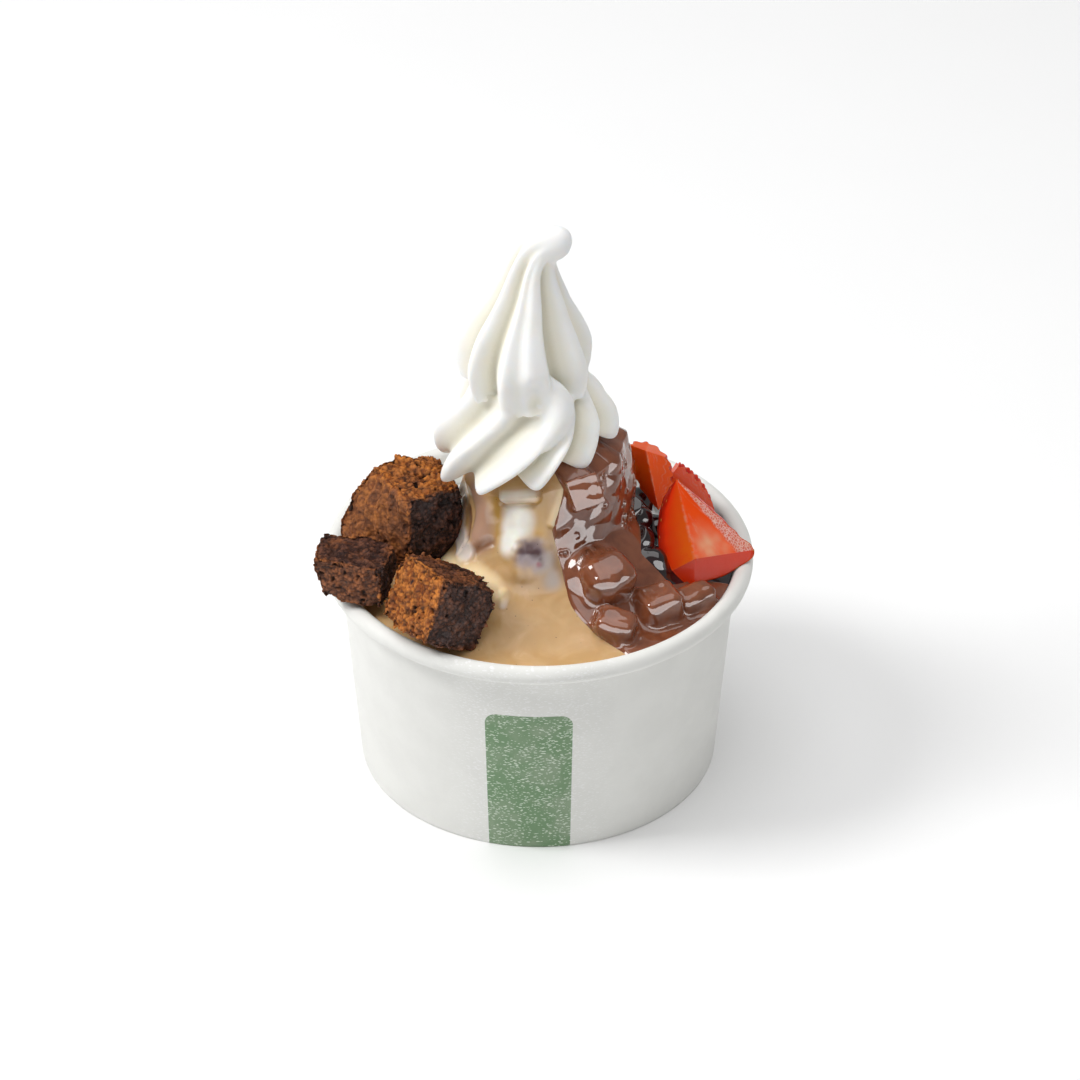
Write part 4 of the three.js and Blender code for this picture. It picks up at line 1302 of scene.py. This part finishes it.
def brownie(number, row, skin, quads):
    """A cube of packed crumbs with pits and crumbled edges."""
    seed = SEEDS_APART * number
    base, _ = rough_block(skin, row["block"])
    unit = normals_of(base, quads)
    packed = [crumbs(base, size, seed + step) for size, step in CRUMBS]
    (clump, clump_kind), (grain, grain_kind), (fine, fine_kind) = packed
    holes = smooth(rough(base, 1.7, 2, seed + 20), 0.5, 0.85)
    # Which of the block's sides a point is on, softly.
    side = np.abs(skin) * 2
    lean = smooth(side + 0.12 * rough(base, 3.0, 2, seed + 40)[:, None], 0.86, 0.99)
    names = np.where(skin < 0, 0, 1)
    tone, crust = np.zeros(len(skin)), np.zeros(len(skin))
    for axis, letter in enumerate("xyz"):
        for end, sign in enumerate("-+"):
            here = lean[:, axis] * (names[:, axis] == end)
            tone += here * row["tones"][sign + letter]
            crust += here * row.get("crust", {}).get(sign + letter, 0)
    total = lean.sum(axis=1) + 1e-6
    tone, crust = tone / total, crust / total
    # Cut edges crumble: the crumbs there are looser and lighter.
    edge = smooth(np.sort(side, axis=1)[:, 1] + 0.1 * noise(base, 2.0, seed + 45), 0.8, 0.98)
    tone = np.clip(tone + 0.2 * rough(base, 3.2, 3, seed + 60) + 0.4 * edge * clump_kind, 0, 1)
    loose = (1 - 0.5 * crust) * (0.85 + 0.4 * edge)
    swell = 0.45 * clump * clump_kind + 0.4 * grain * (0.3 + grain_kind) + 0.12 * fine
    swell += 0.45 * smooth(grain_kind, 0.85, 0.95) * grain * edge
    points = base + unit * (loose * (swell - 0.75) - 1.1 * holes * (1 - crust))[:, None]
    points += unit * (0.3 * rough(base, 5.0, 2, seed + 30) - 0.3)[:, None]
    shade = 0.45 * grain_kind + 0.3 * clump_kind + 0.25 * fine_kind
    # Painted shade: the gaps between crumbs and the holes darken with their depth, less so on the crust.
    depth = np.clip(0.9 - 0.55 * grain - 0.3 * clump + 0.6 * holes, 0, 1) * (1 - 0.7 * crust)
    values = {"tone": tone, "grain": shade, "pit": depth, "crust": crust}
    return mesh_from(f"brownie_cube_{number}", placed(points, row), quads, values)


FRUIT_PIECE = {"size": (8, 5, 8), "at": (-2.4, -26.2, 77), "turn": (-30, 0, 8), "seed": 9.2}

CHUNKS = [
    {"size": (9, 9, 6), "at": (12, -21.6, 96), "turn": (58, 8, 20), "seed": 2.2},
    {"size": (13, 12, 11), "at": (18, -28, 73.5), "turn": (20, 10, 35), "seed": 5.1},
    {"size": (10.5, 10, 9), "at": (31.5, -30, 66), "turn": (10, -8, 24), "seed": 3.3},
    {"size": (10, 8, 6.5), "at": (20, -38.5, 65.5), "turn": (8, 12, -12), "seed": 8.4},
    {"size": (11, 6.5, 5.5), "at": (41, -24.2, 64.2), "turn": (6, 4, 34), "seed": 6.6},
]
# How far the chocolate stands over each chunk, the radius it rounds its corners to, and how
# far the chunk's own corners are rounded.
COATS = [(-0.45, 1.4, 0.12), (0.5, 4.6, 0.6), (0.35, 2.6, 0.3), (0.35, 2.2, 0.3), (0.35, 2.2, 0.3)]
CHUNK_GAP = 0.25


def coated_chunk(number, row, skin, quads):
    """A chunk a little smaller than its coat of chocolate."""
    block = {"size": row["size"], "rounding": COATS[number - 1][2], "relief": 0.15, "seed": row["seed"]}
    base, unit = rough_block(skin, block)
    points = base - unit * (CHUNK_GAP + 0.04 * rough(base, 4.0, 2, 7 * number))[:, None]
    return mesh_from(f"coated_chunk_piece_{number}", placed(points, row), quads)


def from_block(points, row, grow=0.0, corner=1.8):
    """Distance from a rounded block."""
    local = (points - np.array(row["at"])) @ turned(row["turn"])
    past = np.abs(local) - (np.array(row["size"]) / 2 - corner)
    outside = np.linalg.norm(np.maximum(past, 0), axis=-1)
    return outside + np.minimum(past.max(axis=-1), 0) - corner - grow


def from_balls(points, balls):
    """Distance from the nearest of the balls, each a centre and a radius."""
    away = [np.linalg.norm(points - np.array(centre), axis=-1) - radius for centre, radius in balls]
    return np.minimum.reduce(away)


PUSH_ROUNDS = 14
PUSH_MOST = 14.0


def pushed_clear(sheet, normal, distance, blend):
    """The sheet moved out along its normals until it is clear of a form, with a soft fillet."""
    lift = np.zeros(sheet.shape[:-1])
    for _ in range(PUSH_ROUNDS):
        point = sheet + normal * lift[..., None]
        lift = lift - soft_least(lift, distance(point), blend)
    return np.clip(lift, 0, PUSH_MOST)


# Bands over the caramel: tint, path of azimuths and ups, half-width, softness and rise.
CARAMEL_BANDS = [
    ("pale", [(-104, 0.8), (-105, 0.72)], 4.2, 2.0, 0.5),
    ("pale", [(-105, 0.72), (-106.5, 0.64), (-106, 0.61)], 3.2, 1.6, 0.4),
    ("pale", [(-114, 0.985), (-104, 1.0), (-93, 0.985)], 1.7, 0.8, 1.4),
    ("cream", [(-70, 1.0), (-75, 0.88), (-80, 0.76)], 1.5, 0.9, 0.8),
    ("cream", [(-154, 0.47), (-138, 0.455), (-120, 0.445), (-112, 0.415), (-108, 0.38)], 2.3, 1.5, 0.9),
    ("deep", [(-121, 0.95), (-121, 0.78), (-117.5, 0.66), (-111, 0.58), (-105, 0.53)], 1.3, 1.1, 0.0),
    ("deep", [(-117, 0.925), (-105, 0.93), (-95, 0.915)], 1.0, 0.9, -0.5),
    ("deep", [(-88, 0.93), (-88, 0.69)], 2.2, 1.8, 0.6),
    ("pink", [(-172, 0.72), (-160, 0.61), (-146, 0.56), (-134, 0.52)], 3.0, 0.9, 0.6),
    ("pink", [(-106, 0.395), (-105.5, 0.34)], 0.9, 0.8, 0.4),
    ("blush", [(-142, 0.95), (-134, 0.75), (-127, 0.6)], 3.6, 1.8, 0.4),
    # The shade bands are painted shade: a shadow line beside a brownie, and a valley above the cream fold.
    ("shade", [(-156, 0.78), (-148, 0.66), (-139, 0.585)], 1.1, 1.0, -0.4),
    ("shade", [(-140, 0.535), (-128, 0.54), (-121, 0.6)], 1.2, 1.2, -0.6),
    ("film", [(-91, 0.63), (-86, 0.54), (-83, 0.46)], 2.2, 1.8, 0.3),
]
# Spots of the fruit seen through the caramel: tint, place, radius and softness.
FRUIT_SPOTS = [
    ("film", (1.6, -28.0, 79.0), 3.4, 2.2),
    ("plum", (-1.8, -28.0, 80.4), 3.9, 2.0),
    ("bruise", (-4.4, -27.1, 81.7), 1.5, 1.3),
    ("bruise", (-2.2, -27.0, 82.0), 1.7, 1.3),
    ("bruise", (-0.7, -27.8, 80.8), 1.8, 1.2),
    ("bruise", (0.6, -28.6, 79.4), 1.1, 1.0),
    ("rose", (0.0, -29.0, 78.6), 0.7, 0.8),
]

# How widely each sauce is filleted up what lies in it.
FRUIT_FILLET = 6.5
CHUNK_FILLET = 2.4
LUMP_FILLET = 0.7
BERRY_FILLET = 2.0
# How high the sauces' own waves rise, and how high the chocolate stands inside its edge.
CARAMEL_WAVE = 0.2
CHOCOLATE_WAVE = 0.35
CHOCOLATE_EDGE = 0.7
COMPOTE_WAVE = 0.15


def caramel_sauce():
    sauce = SAUCES["caramel"]
    azimuth, up, _ = sauce_grid(sauce, 360, 230, end_margin=3.0)
    sheet = dressed(azimuth, up)
    lift = CARAMEL_WAVE * rough(sheet, 9.0, 3, 3) * smooth(up, 0.0, 0.2)
    for _, path, half_width, soft, rise in CARAMEL_BANDS:
        lift += rise * painted(sheet, path, half_width, soft)
    outer = dressed(azimuth, up, -lift)
    normal = sheet_normals(outer)

    def distance(point):
        return from_block(point, FRUIT_PIECE, 0.1, 2.5) + 0.15 * rough(point, 3.0, 2, 23)

    outer = carried_up(outer + normal * pushed_clear(outer, normal, distance, FRUIT_FILLET)[..., None])
    inner = carried_up(dressed(azimuth, up, sauce_depth(sauce, azimuth, up)))
    points, faces = slab(outer, inner)
    values = {key: np.zeros(outer.shape[:-1]) for key in CARAMEL_TINTS}
    for tint, path, half_width, soft, _ in CARAMEL_BANDS:
        values[tint] = np.maximum(values[tint], painted(outer, path, half_width, soft))
    for tint, place, radius, soft in FRUIT_SPOTS:
        values[tint] = np.maximum(values[tint], spotted(outer, place, radius, soft))
    both = {key: np.concatenate([data.ravel(), data.ravel()]) for key, data in values.items()}
    return faced_out(mesh_from("caramel_pool", points, faces, both))


# Smooth lumps in the chocolate between the chunks, and their radii.
CHOCOLATE_LUMPS = [
    ((13.0, -21.9, 69.7), 10.0),
    ((16.6, -22.0, 73.3), 5.0),
    ((17.8, -34.3, 64.5), 4.0),
]
# Wet lumps up the column, and the ringed pits where bubbles broke: spacing and height.
WET_SIZE, WET_RISE = 6.5, 1.3
PIT_SIZE, PIT_RING, PIT_DEPTH, PIT_FROM = 3.3, 0.25, 0.8, 0.62


def chocolate_sauce():
    sauce = SAUCES["chocolate"]
    azimuth, up, across = sauce_grid(sauce, 300, 230, start_margin=0.5, end_margin=2.0)
    sheet = dressed(azimuth, up)
    edge = smooth(across, 0, 0.05) * smooth(1 - across, 0, 0.04)
    lift = CHOCOLATE_EDGE * edge + CHOCOLATE_WAVE * rough(sheet, 9.0, 2, 11) * edge
    wet = smooth(up, 0.5, 0.65) * edge
    away, kind = cells(sheet, WET_SIZE, 13)
    lift += WET_RISE * (1 - smooth(away, 0.0, 0.75)) * (0.2 + 0.8 * kind) * wet
    away, kind = cells(sheet, PIT_SIZE, 37)
    pit = PIT_RING * bell(away, 0.34, 0.1) - PIT_DEPTH * (1 - smooth(away, 0.1, 0.3))
    pit = pit * (kind > PIT_FROM)
    lift += pit * smooth(up, 0.52, 0.6) * edge
    sheet = dressed(azimuth, up, 0.6 - 0.5 * edge - lift)

    def from_chunks(point):
        pairs = zip(CHUNKS, COATS)
        away = [from_block(point, row, coat, corner) for row, (coat, corner, _) in pairs]
        return np.minimum.reduce(away) + 0.32 * rough(point, 4.6, 2, 29)

    def from_lumps(point):
        return from_balls(point, CHOCOLATE_LUMPS)

    outer = sheet
    for form, fillet in ((from_chunks, CHUNK_FILLET), (from_lumps, LUMP_FILLET)):
        normal = sheet_normals(outer)
        lift = pushed_clear(outer, normal, form, fillet) * edge
        outer = outer + normal * lift[..., None]
    inner = dressed(azimuth, up, sauce_depth(sauce, azimuth, up))
    points, faces = slab(carried_up(outer), carried_up(inner))
    return faced_out(mesh_from("chocolate_pool", points, faces))


# Half-sunk berries in the compote: azimuth, up and radius.
BERRIES = [
    (-9, 0.6, 3.4),
    (-4, 0.5, 3.8),
    (-17, 0.46, 3.6),
    (-24, 0.36, 3.6),
    (4, 0.34, 5.2),
    (22, 0.2, 4.6),
    (24, 0.44, 5),
    (42, 0.3, 5.2),
    (60, 0.22, 4.8),
    (58, 0.46, 4.6),
]


def berry_compote():
    sauce = SAUCES["compote"]
    azimuth, up, across = sauce_grid(sauce, 240, 130, start_margin=3.0)
    sheet = dressed(azimuth, up)
    normal = sheet_normals(sheet)
    balls = [(dressed(a, u, 0.25 * radius), radius) for a, u, radius in BERRIES]

    def distance(point):
        return from_balls(point, balls) + 0.2 * rough(point, 4.0, 2, 17)

    edge = smooth(np.minimum(across, 1 - across), 0, 0.06) * smooth(sauce["top"] - up, 0, 0.06)
    lift = pushed_clear(sheet, normal, distance, BERRY_FILLET) * edge
    lift += COMPOTE_WAVE * rough(sheet, 4.5, 2, 19) * edge
    outer = sheet + normal * lift[..., None]
    inner = dressed(azimuth, up, sauce_depth(sauce, azimuth, up))
    points, faces = slab(outer, inner)
    return faced_out(mesh_from("compote_pool", points, faces))


# ---- Strawberries ---------------------------------------------------------------------------
STRAWBERRIES = [
    {
        "foot": (28.6, 7, 90),
        "tip": (32.1, 3, 73.7),
        "left": (-5.4, 6.2, -1.6),
        "right": (7, 5.2, -6),
        "back": (1, 9, -2.6),
        "bulge": 1.3,
        "bows": (3.4, 2),
        "dimple": 0.09,
        "shoulder": 0.2,
    },
    {
        "foot": (34.9, 14, 76.1),
        "tip": (48.1, 14.5, 63.9),
        "left": (-2, 6.1, -1.1),
        "right": (3.2, 2, 3.8),
        "back": (1.2, 6.2, 0),
        "bulge": 1.2,
        "bows": (2, 2.6),
        "dimple": 0.09,
        "shoulder": 0.1,
    },
    {
        "foot": (41.4, -14.6, 70),
        "tip": (36.7, 1, 84.8),
        "left": (-8, -0.4, -4.9),
        "right": (16.5, 9.2, -3.3),
        "back": (-3, 12, 1),
        "under": (-0.3, -3, -6.1),
        "bulge": 1.1,
        "bows": (3, 1),
        "dimple": 0.02,
        "shoulder": 0.0,
    },
]
UNDER_ENDS = 0.45
SHOULDER_CURVE = 5
ALONG_STEPS, CUT_STEPS, SKIN_STEPS, CAP_STEPS = 120, 40, 96, 24
SEEDS_ROUND, SEEDS_ALONG = 9, 11
CORNER_KEYS = ("foot", "tip", "left", "right", "back")


def strawberry(number, row):
    """A wedge: rings from foot to tip, each a corner, a cut face, the skin and a cut face."""
    foot, tip, left, right, back = (np.array(row[key], float) for key in CORNER_KEYS)
    under = np.array(row.get("under", row["back"]), float)
    t = np.linspace(0, 0.995, ALONG_STEPS)[:, None]
    corner = foot + (tip - foot) * t[..., None]
    behind_corner = under + (back - under) * smooth(t, 0, UNDER_ENDS)[..., None]
    turn = np.linspace(0, 180, SKIN_STEPS)[None, :] + 0 * t
    bow = mix(*row["bows"], (1 - cosd(turn)) / 2)
    shoulder = 1 - row["shoulder"] * (1 - t) ** SHOULDER_CURVE
    # Seeds sit in dimples, in rows round the skin that are each shifted from the last.
    seeds = cosd(SEEDS_ROUND * turn) * np.cos(SEEDS_ALONG * np.pi * t)
    width = np.maximum(1 - t**bow, 0.03) * shoulder * (1 + row["dimple"] * seeds)
    side = np.where((turn < 90)[..., None], left, right)
    reach = np.abs(cosd(turn)) ** row["bulge"]
    swing = np.abs(sind(turn)) ** row["bulge"]
    skin = corner + (width * reach)[..., None] * side + (width * swing)[..., None] * behind_corner
    share = np.linspace(0, 1, CUT_STEPS)[None, 1:-1]
    first = corner + share[..., None] * (skin[:, :1] - corner)
    last = skin[:, -1:] + share[..., None] * (corner - skin[:, -1:])
    rings = np.concatenate([corner + 0 * skin[:, :1], first, skin, last], axis=1)
    # Where each point of a ring lies: its part, and its share of the way out from the corner.
    part = np.repeat([1, 0, 2], [CUT_STEPS - 1, SKIN_STEPS, CUT_STEPS - 2])
    out = np.concatenate([[0], share[0], np.ones(SKIN_STEPS), 1 - share[0]])
    part, out, far = part[None, :] + 0 * t, out[None, :] + 0 * t, t + 0 * out[None, :]
    # The foot is one more cut face: rings that close on the corner's end.
    inset = np.linspace(0, 1, CAP_STEPS)[:-1, None, None]
    cap = foot + 0.02 * (rings[0].mean(0) - foot) + inset * (rings[:1] - foot) * 0.98
    rings = np.concatenate([cap, rings])
    part = np.concatenate([3 + 0 * cap[..., 0], part])
    out = np.concatenate([inset[..., 0] + 0 * cap[..., 0], out])
    far = np.concatenate([0 * cap[..., 0], far])
    points, faces = ringed(rings)
    tints = flesh_values(number, rings, part, out, far, seeds)
    values = {key: ringed_values(grid) for key, grid in tints.items()}
    return faced_out(mesh_from(f"strawberry_wedge_{number}", points, faces, values))


# The wedge that shows its core, and the one whose left face darkens upwards.
CORED_WEDGE = 3
DARK_WEDGE = 1


def flesh_values(number, rings, part, out, far, seeds):
    """The tints of a wedge: cut flesh, warmth, veins, core, seeds, dark and the pale strip."""
    flesh = (part > 0).astype(float)
    first, last, foot = (part == 1), (part == 2), (part == 3)
    zero = 0 * out
    fibres = np.stack([7 * np.arctan2(out + 0.02, 1.05 - far), 0.6 * far, 3.0 * part], axis=-1)
    streaks = smooth(noise(fibres, 0.28, 5 + number), 0.0, 0.7)
    crease = 1 - smooth(out, 0.0, 0.1)
    vein = 0.45 * streaks * last * smooth(out, 0.02, 0.2) + 0.7 * crease * flesh
    warm = np.where(first, mix(0.75, 0.1, smooth(out, 0.2, 1.0)), 0.45)
    dark = np.where(first, smooth(out, 0.72, 1.0), 0.0)
    core, strip = zero, zero
    if number == CORED_WEDGE:
        warm = np.where(first, mix(1.0, 0.2, smooth(out, 0.1, 0.85)) * (1 - 0.5 * far), warm)
        warm = np.where(foot, 0.3, warm)
        dark = np.where(foot, 0.55, dark)
        core = np.where(last, bell(far, 0.16, 0.2) * bell(out, 0.34, 0.26), 0.0)
        core = core * mix(0.45, 1.0, smooth(noise(rings, 2.4, 9), -0.5, 0.5))
        strip = np.where(last, smooth(out, 0.66, 0.74), 0.0)
    if number == DARK_WEDGE:
        warm = np.where(first, mix(0.6, 0.2, smooth(far, 0.3, 1.0)), 0.6)
        dark = np.where(first, 0.3 * smooth(far, 0.6, 1.0) * smooth(out, 0.3, 1.0), 0.0)
    seed = zero.copy()
    skin = slice(CUT_STEPS - 1, CUT_STEPS - 1 + SKIN_STEPS)
    seed[-ALONG_STEPS:, skin] = smooth(-seeds, 0.86, 0.96)
    return {
        "flesh": flesh,
        "warm": warm,
        "vein": vein,
        "core": core,
        "seed": seed,
        "dark": dark,
        "strip": strip,
    }


def fruit_piece(skin, quads):
    block = {"size": FRUIT_PIECE["size"], "rounding": 0.45, "relief": 0.5, "seed": FRUIT_PIECE["seed"]}
    base, unit = rough_block(skin, block)
    points = base + unit * (0.2 * rough(base, 1.8, 2, 91))[:, None]
    return mesh_from("fruit_bit", placed(points, FRUIT_PIECE), quads)


# ---- Stage, light and view ------------------------------------------------------------------
FLOOR_HALF = 2500.0


def stage():
    corners = [(-1, -1, 0), (1, -1, 0), (1, 1, 0), (-1, 1, 0)]
    points = FLOOR_HALF * np.array(corners)
    floor = mesh_from("studio_floor", points, [[0, 1, 2, 3]])
    floor.data.materials.append(floor_finish())


def area_light(name, place, target, size, energy):
    light = bpy.data.lights.new(name, "AREA")
    light.shape = "RECTANGLE"
    light.size = size[0]
    light.size_y = size[1]
    light.energy = energy
    lamp = bpy.data.objects.new(name, light)
    lamp.location = place
    way = np.array(place) - np.array(target)
    turn = math.atan2(way[0], -way[1])
    tilt = math.atan2(math.hypot(way[0], way[1]), way[2])
    lamp.rotation_euler = (tilt, 0, turn)
    bpy.context.scene.collection.objects.link(lamp)
    return lamp


# Lamps: name, place, target and size in metres, and power.
MIDDLE = (0.0, 0.0, 0.07)
LAMPS = [
    ("key", (-0.96, -0.1, 1.05), MIDDLE, (0.5, 0.5), 11.2),
    ("overhead", (0.05, 0.0, 1.5), MIDDLE, (1.6, 1.5), 13.2),
    ("front_panel", (0.5, -0.6, 0.375), (0.5, 0.084, 1.104), (2.2, 1.1), 37),
]
WORLD_STRENGTH = 0.3


def lights():
    lamps = {row[0]: area_light(*row) for row in LAMPS}
    # The leaning panel reaches from the table up and away, and only gloss sees it.
    lamps["front_panel"].visible_diffuse = False
    lamps["front_panel"].visible_camera = False
    world = bpy.data.worlds.new("studio")
    world.use_nodes = True
    background = world.node_tree.nodes["Background"]
    background.inputs["Color"].default_value = (1.0, 1.0, 1.0, 1.0)
    background.inputs["Strength"].default_value = WORLD_STRENGTH
    bpy.context.scene.world = world


def view():
    camera = bpy.data.cameras.new("view")
    camera.lens = LENS
    camera.sensor_width = 36.0
    camera.clip_start = 0.05
    camera.clip_end = 20.0
    eye = bpy.data.objects.new("view", camera)
    x, y, z = VIEW_CENTRE
    back = VIEW_DISTANCE * float(cosd(VIEW_ELEVATION))
    rise = VIEW_DISTANCE * float(sind(VIEW_ELEVATION))
    eye.location = (x * MM, (y - back) * MM, (z + rise) * MM)
    eye.rotation_euler = (math.radians(90 - VIEW_ELEVATION), 0, 0)
    bpy.context.scene.collection.objects.link(eye)
    bpy.context.scene.camera = eye
    bpy.context.scene.view_settings.view_transform = "Standard"


# ---- Assembly -------------------------------------------------------------------------------
view()
lights()
stage()

dress(paper_cup(), paper_finish(), "cup_paper", "paper_cup")
yogurt = yogurt_finish()
whirl = swirl()
filling = yogurt_filling()
# The filling has no painted groove shade.
set_value(filling, "groove_shade", np.zeros(len(filling.data.vertices)))
dress(whirl, yogurt, "yogurt", "frozen_yogurt")
dress(filling, yogurt, "yogurt", "frozen_yogurt")
dress(caramel_sauce(), caramel_finish(), "caramel", "caramel_sauce")
chocolate = chocolate_finish()
dress(chocolate_sauce(), chocolate, "chocolate", "chocolate_sauce")
dress(berry_compote(), compote_finish(), "compote", "berry_compote")
small_skin, small_quads = cube_skin(SMALL_STEPS)
for number, row in enumerate(CHUNKS, 1):
    chunk = coated_chunk(number, row, small_skin, small_quads)
    dress(chunk, chocolate, "coated_chunk", f"coated_chunk_{number}")
dress(fruit_piece(small_skin, small_quads), fruit_finish(), "fruit", "fruit_piece")
crumb = brownie_finish()
fine_skin, fine_quads = cube_skin(CRUMB_STEPS)
for number, row in enumerate(BROWNIES, 1):
    dress(brownie(number, row, fine_skin, fine_quads), crumb, "brownie", f"brownie_{number}")
flesh = strawberry_finish()
for number, row in enumerate(STRAWBERRIES, 1):
    dress(strawberry(number, row), flesh, "strawberry", f"strawberry_{number}")
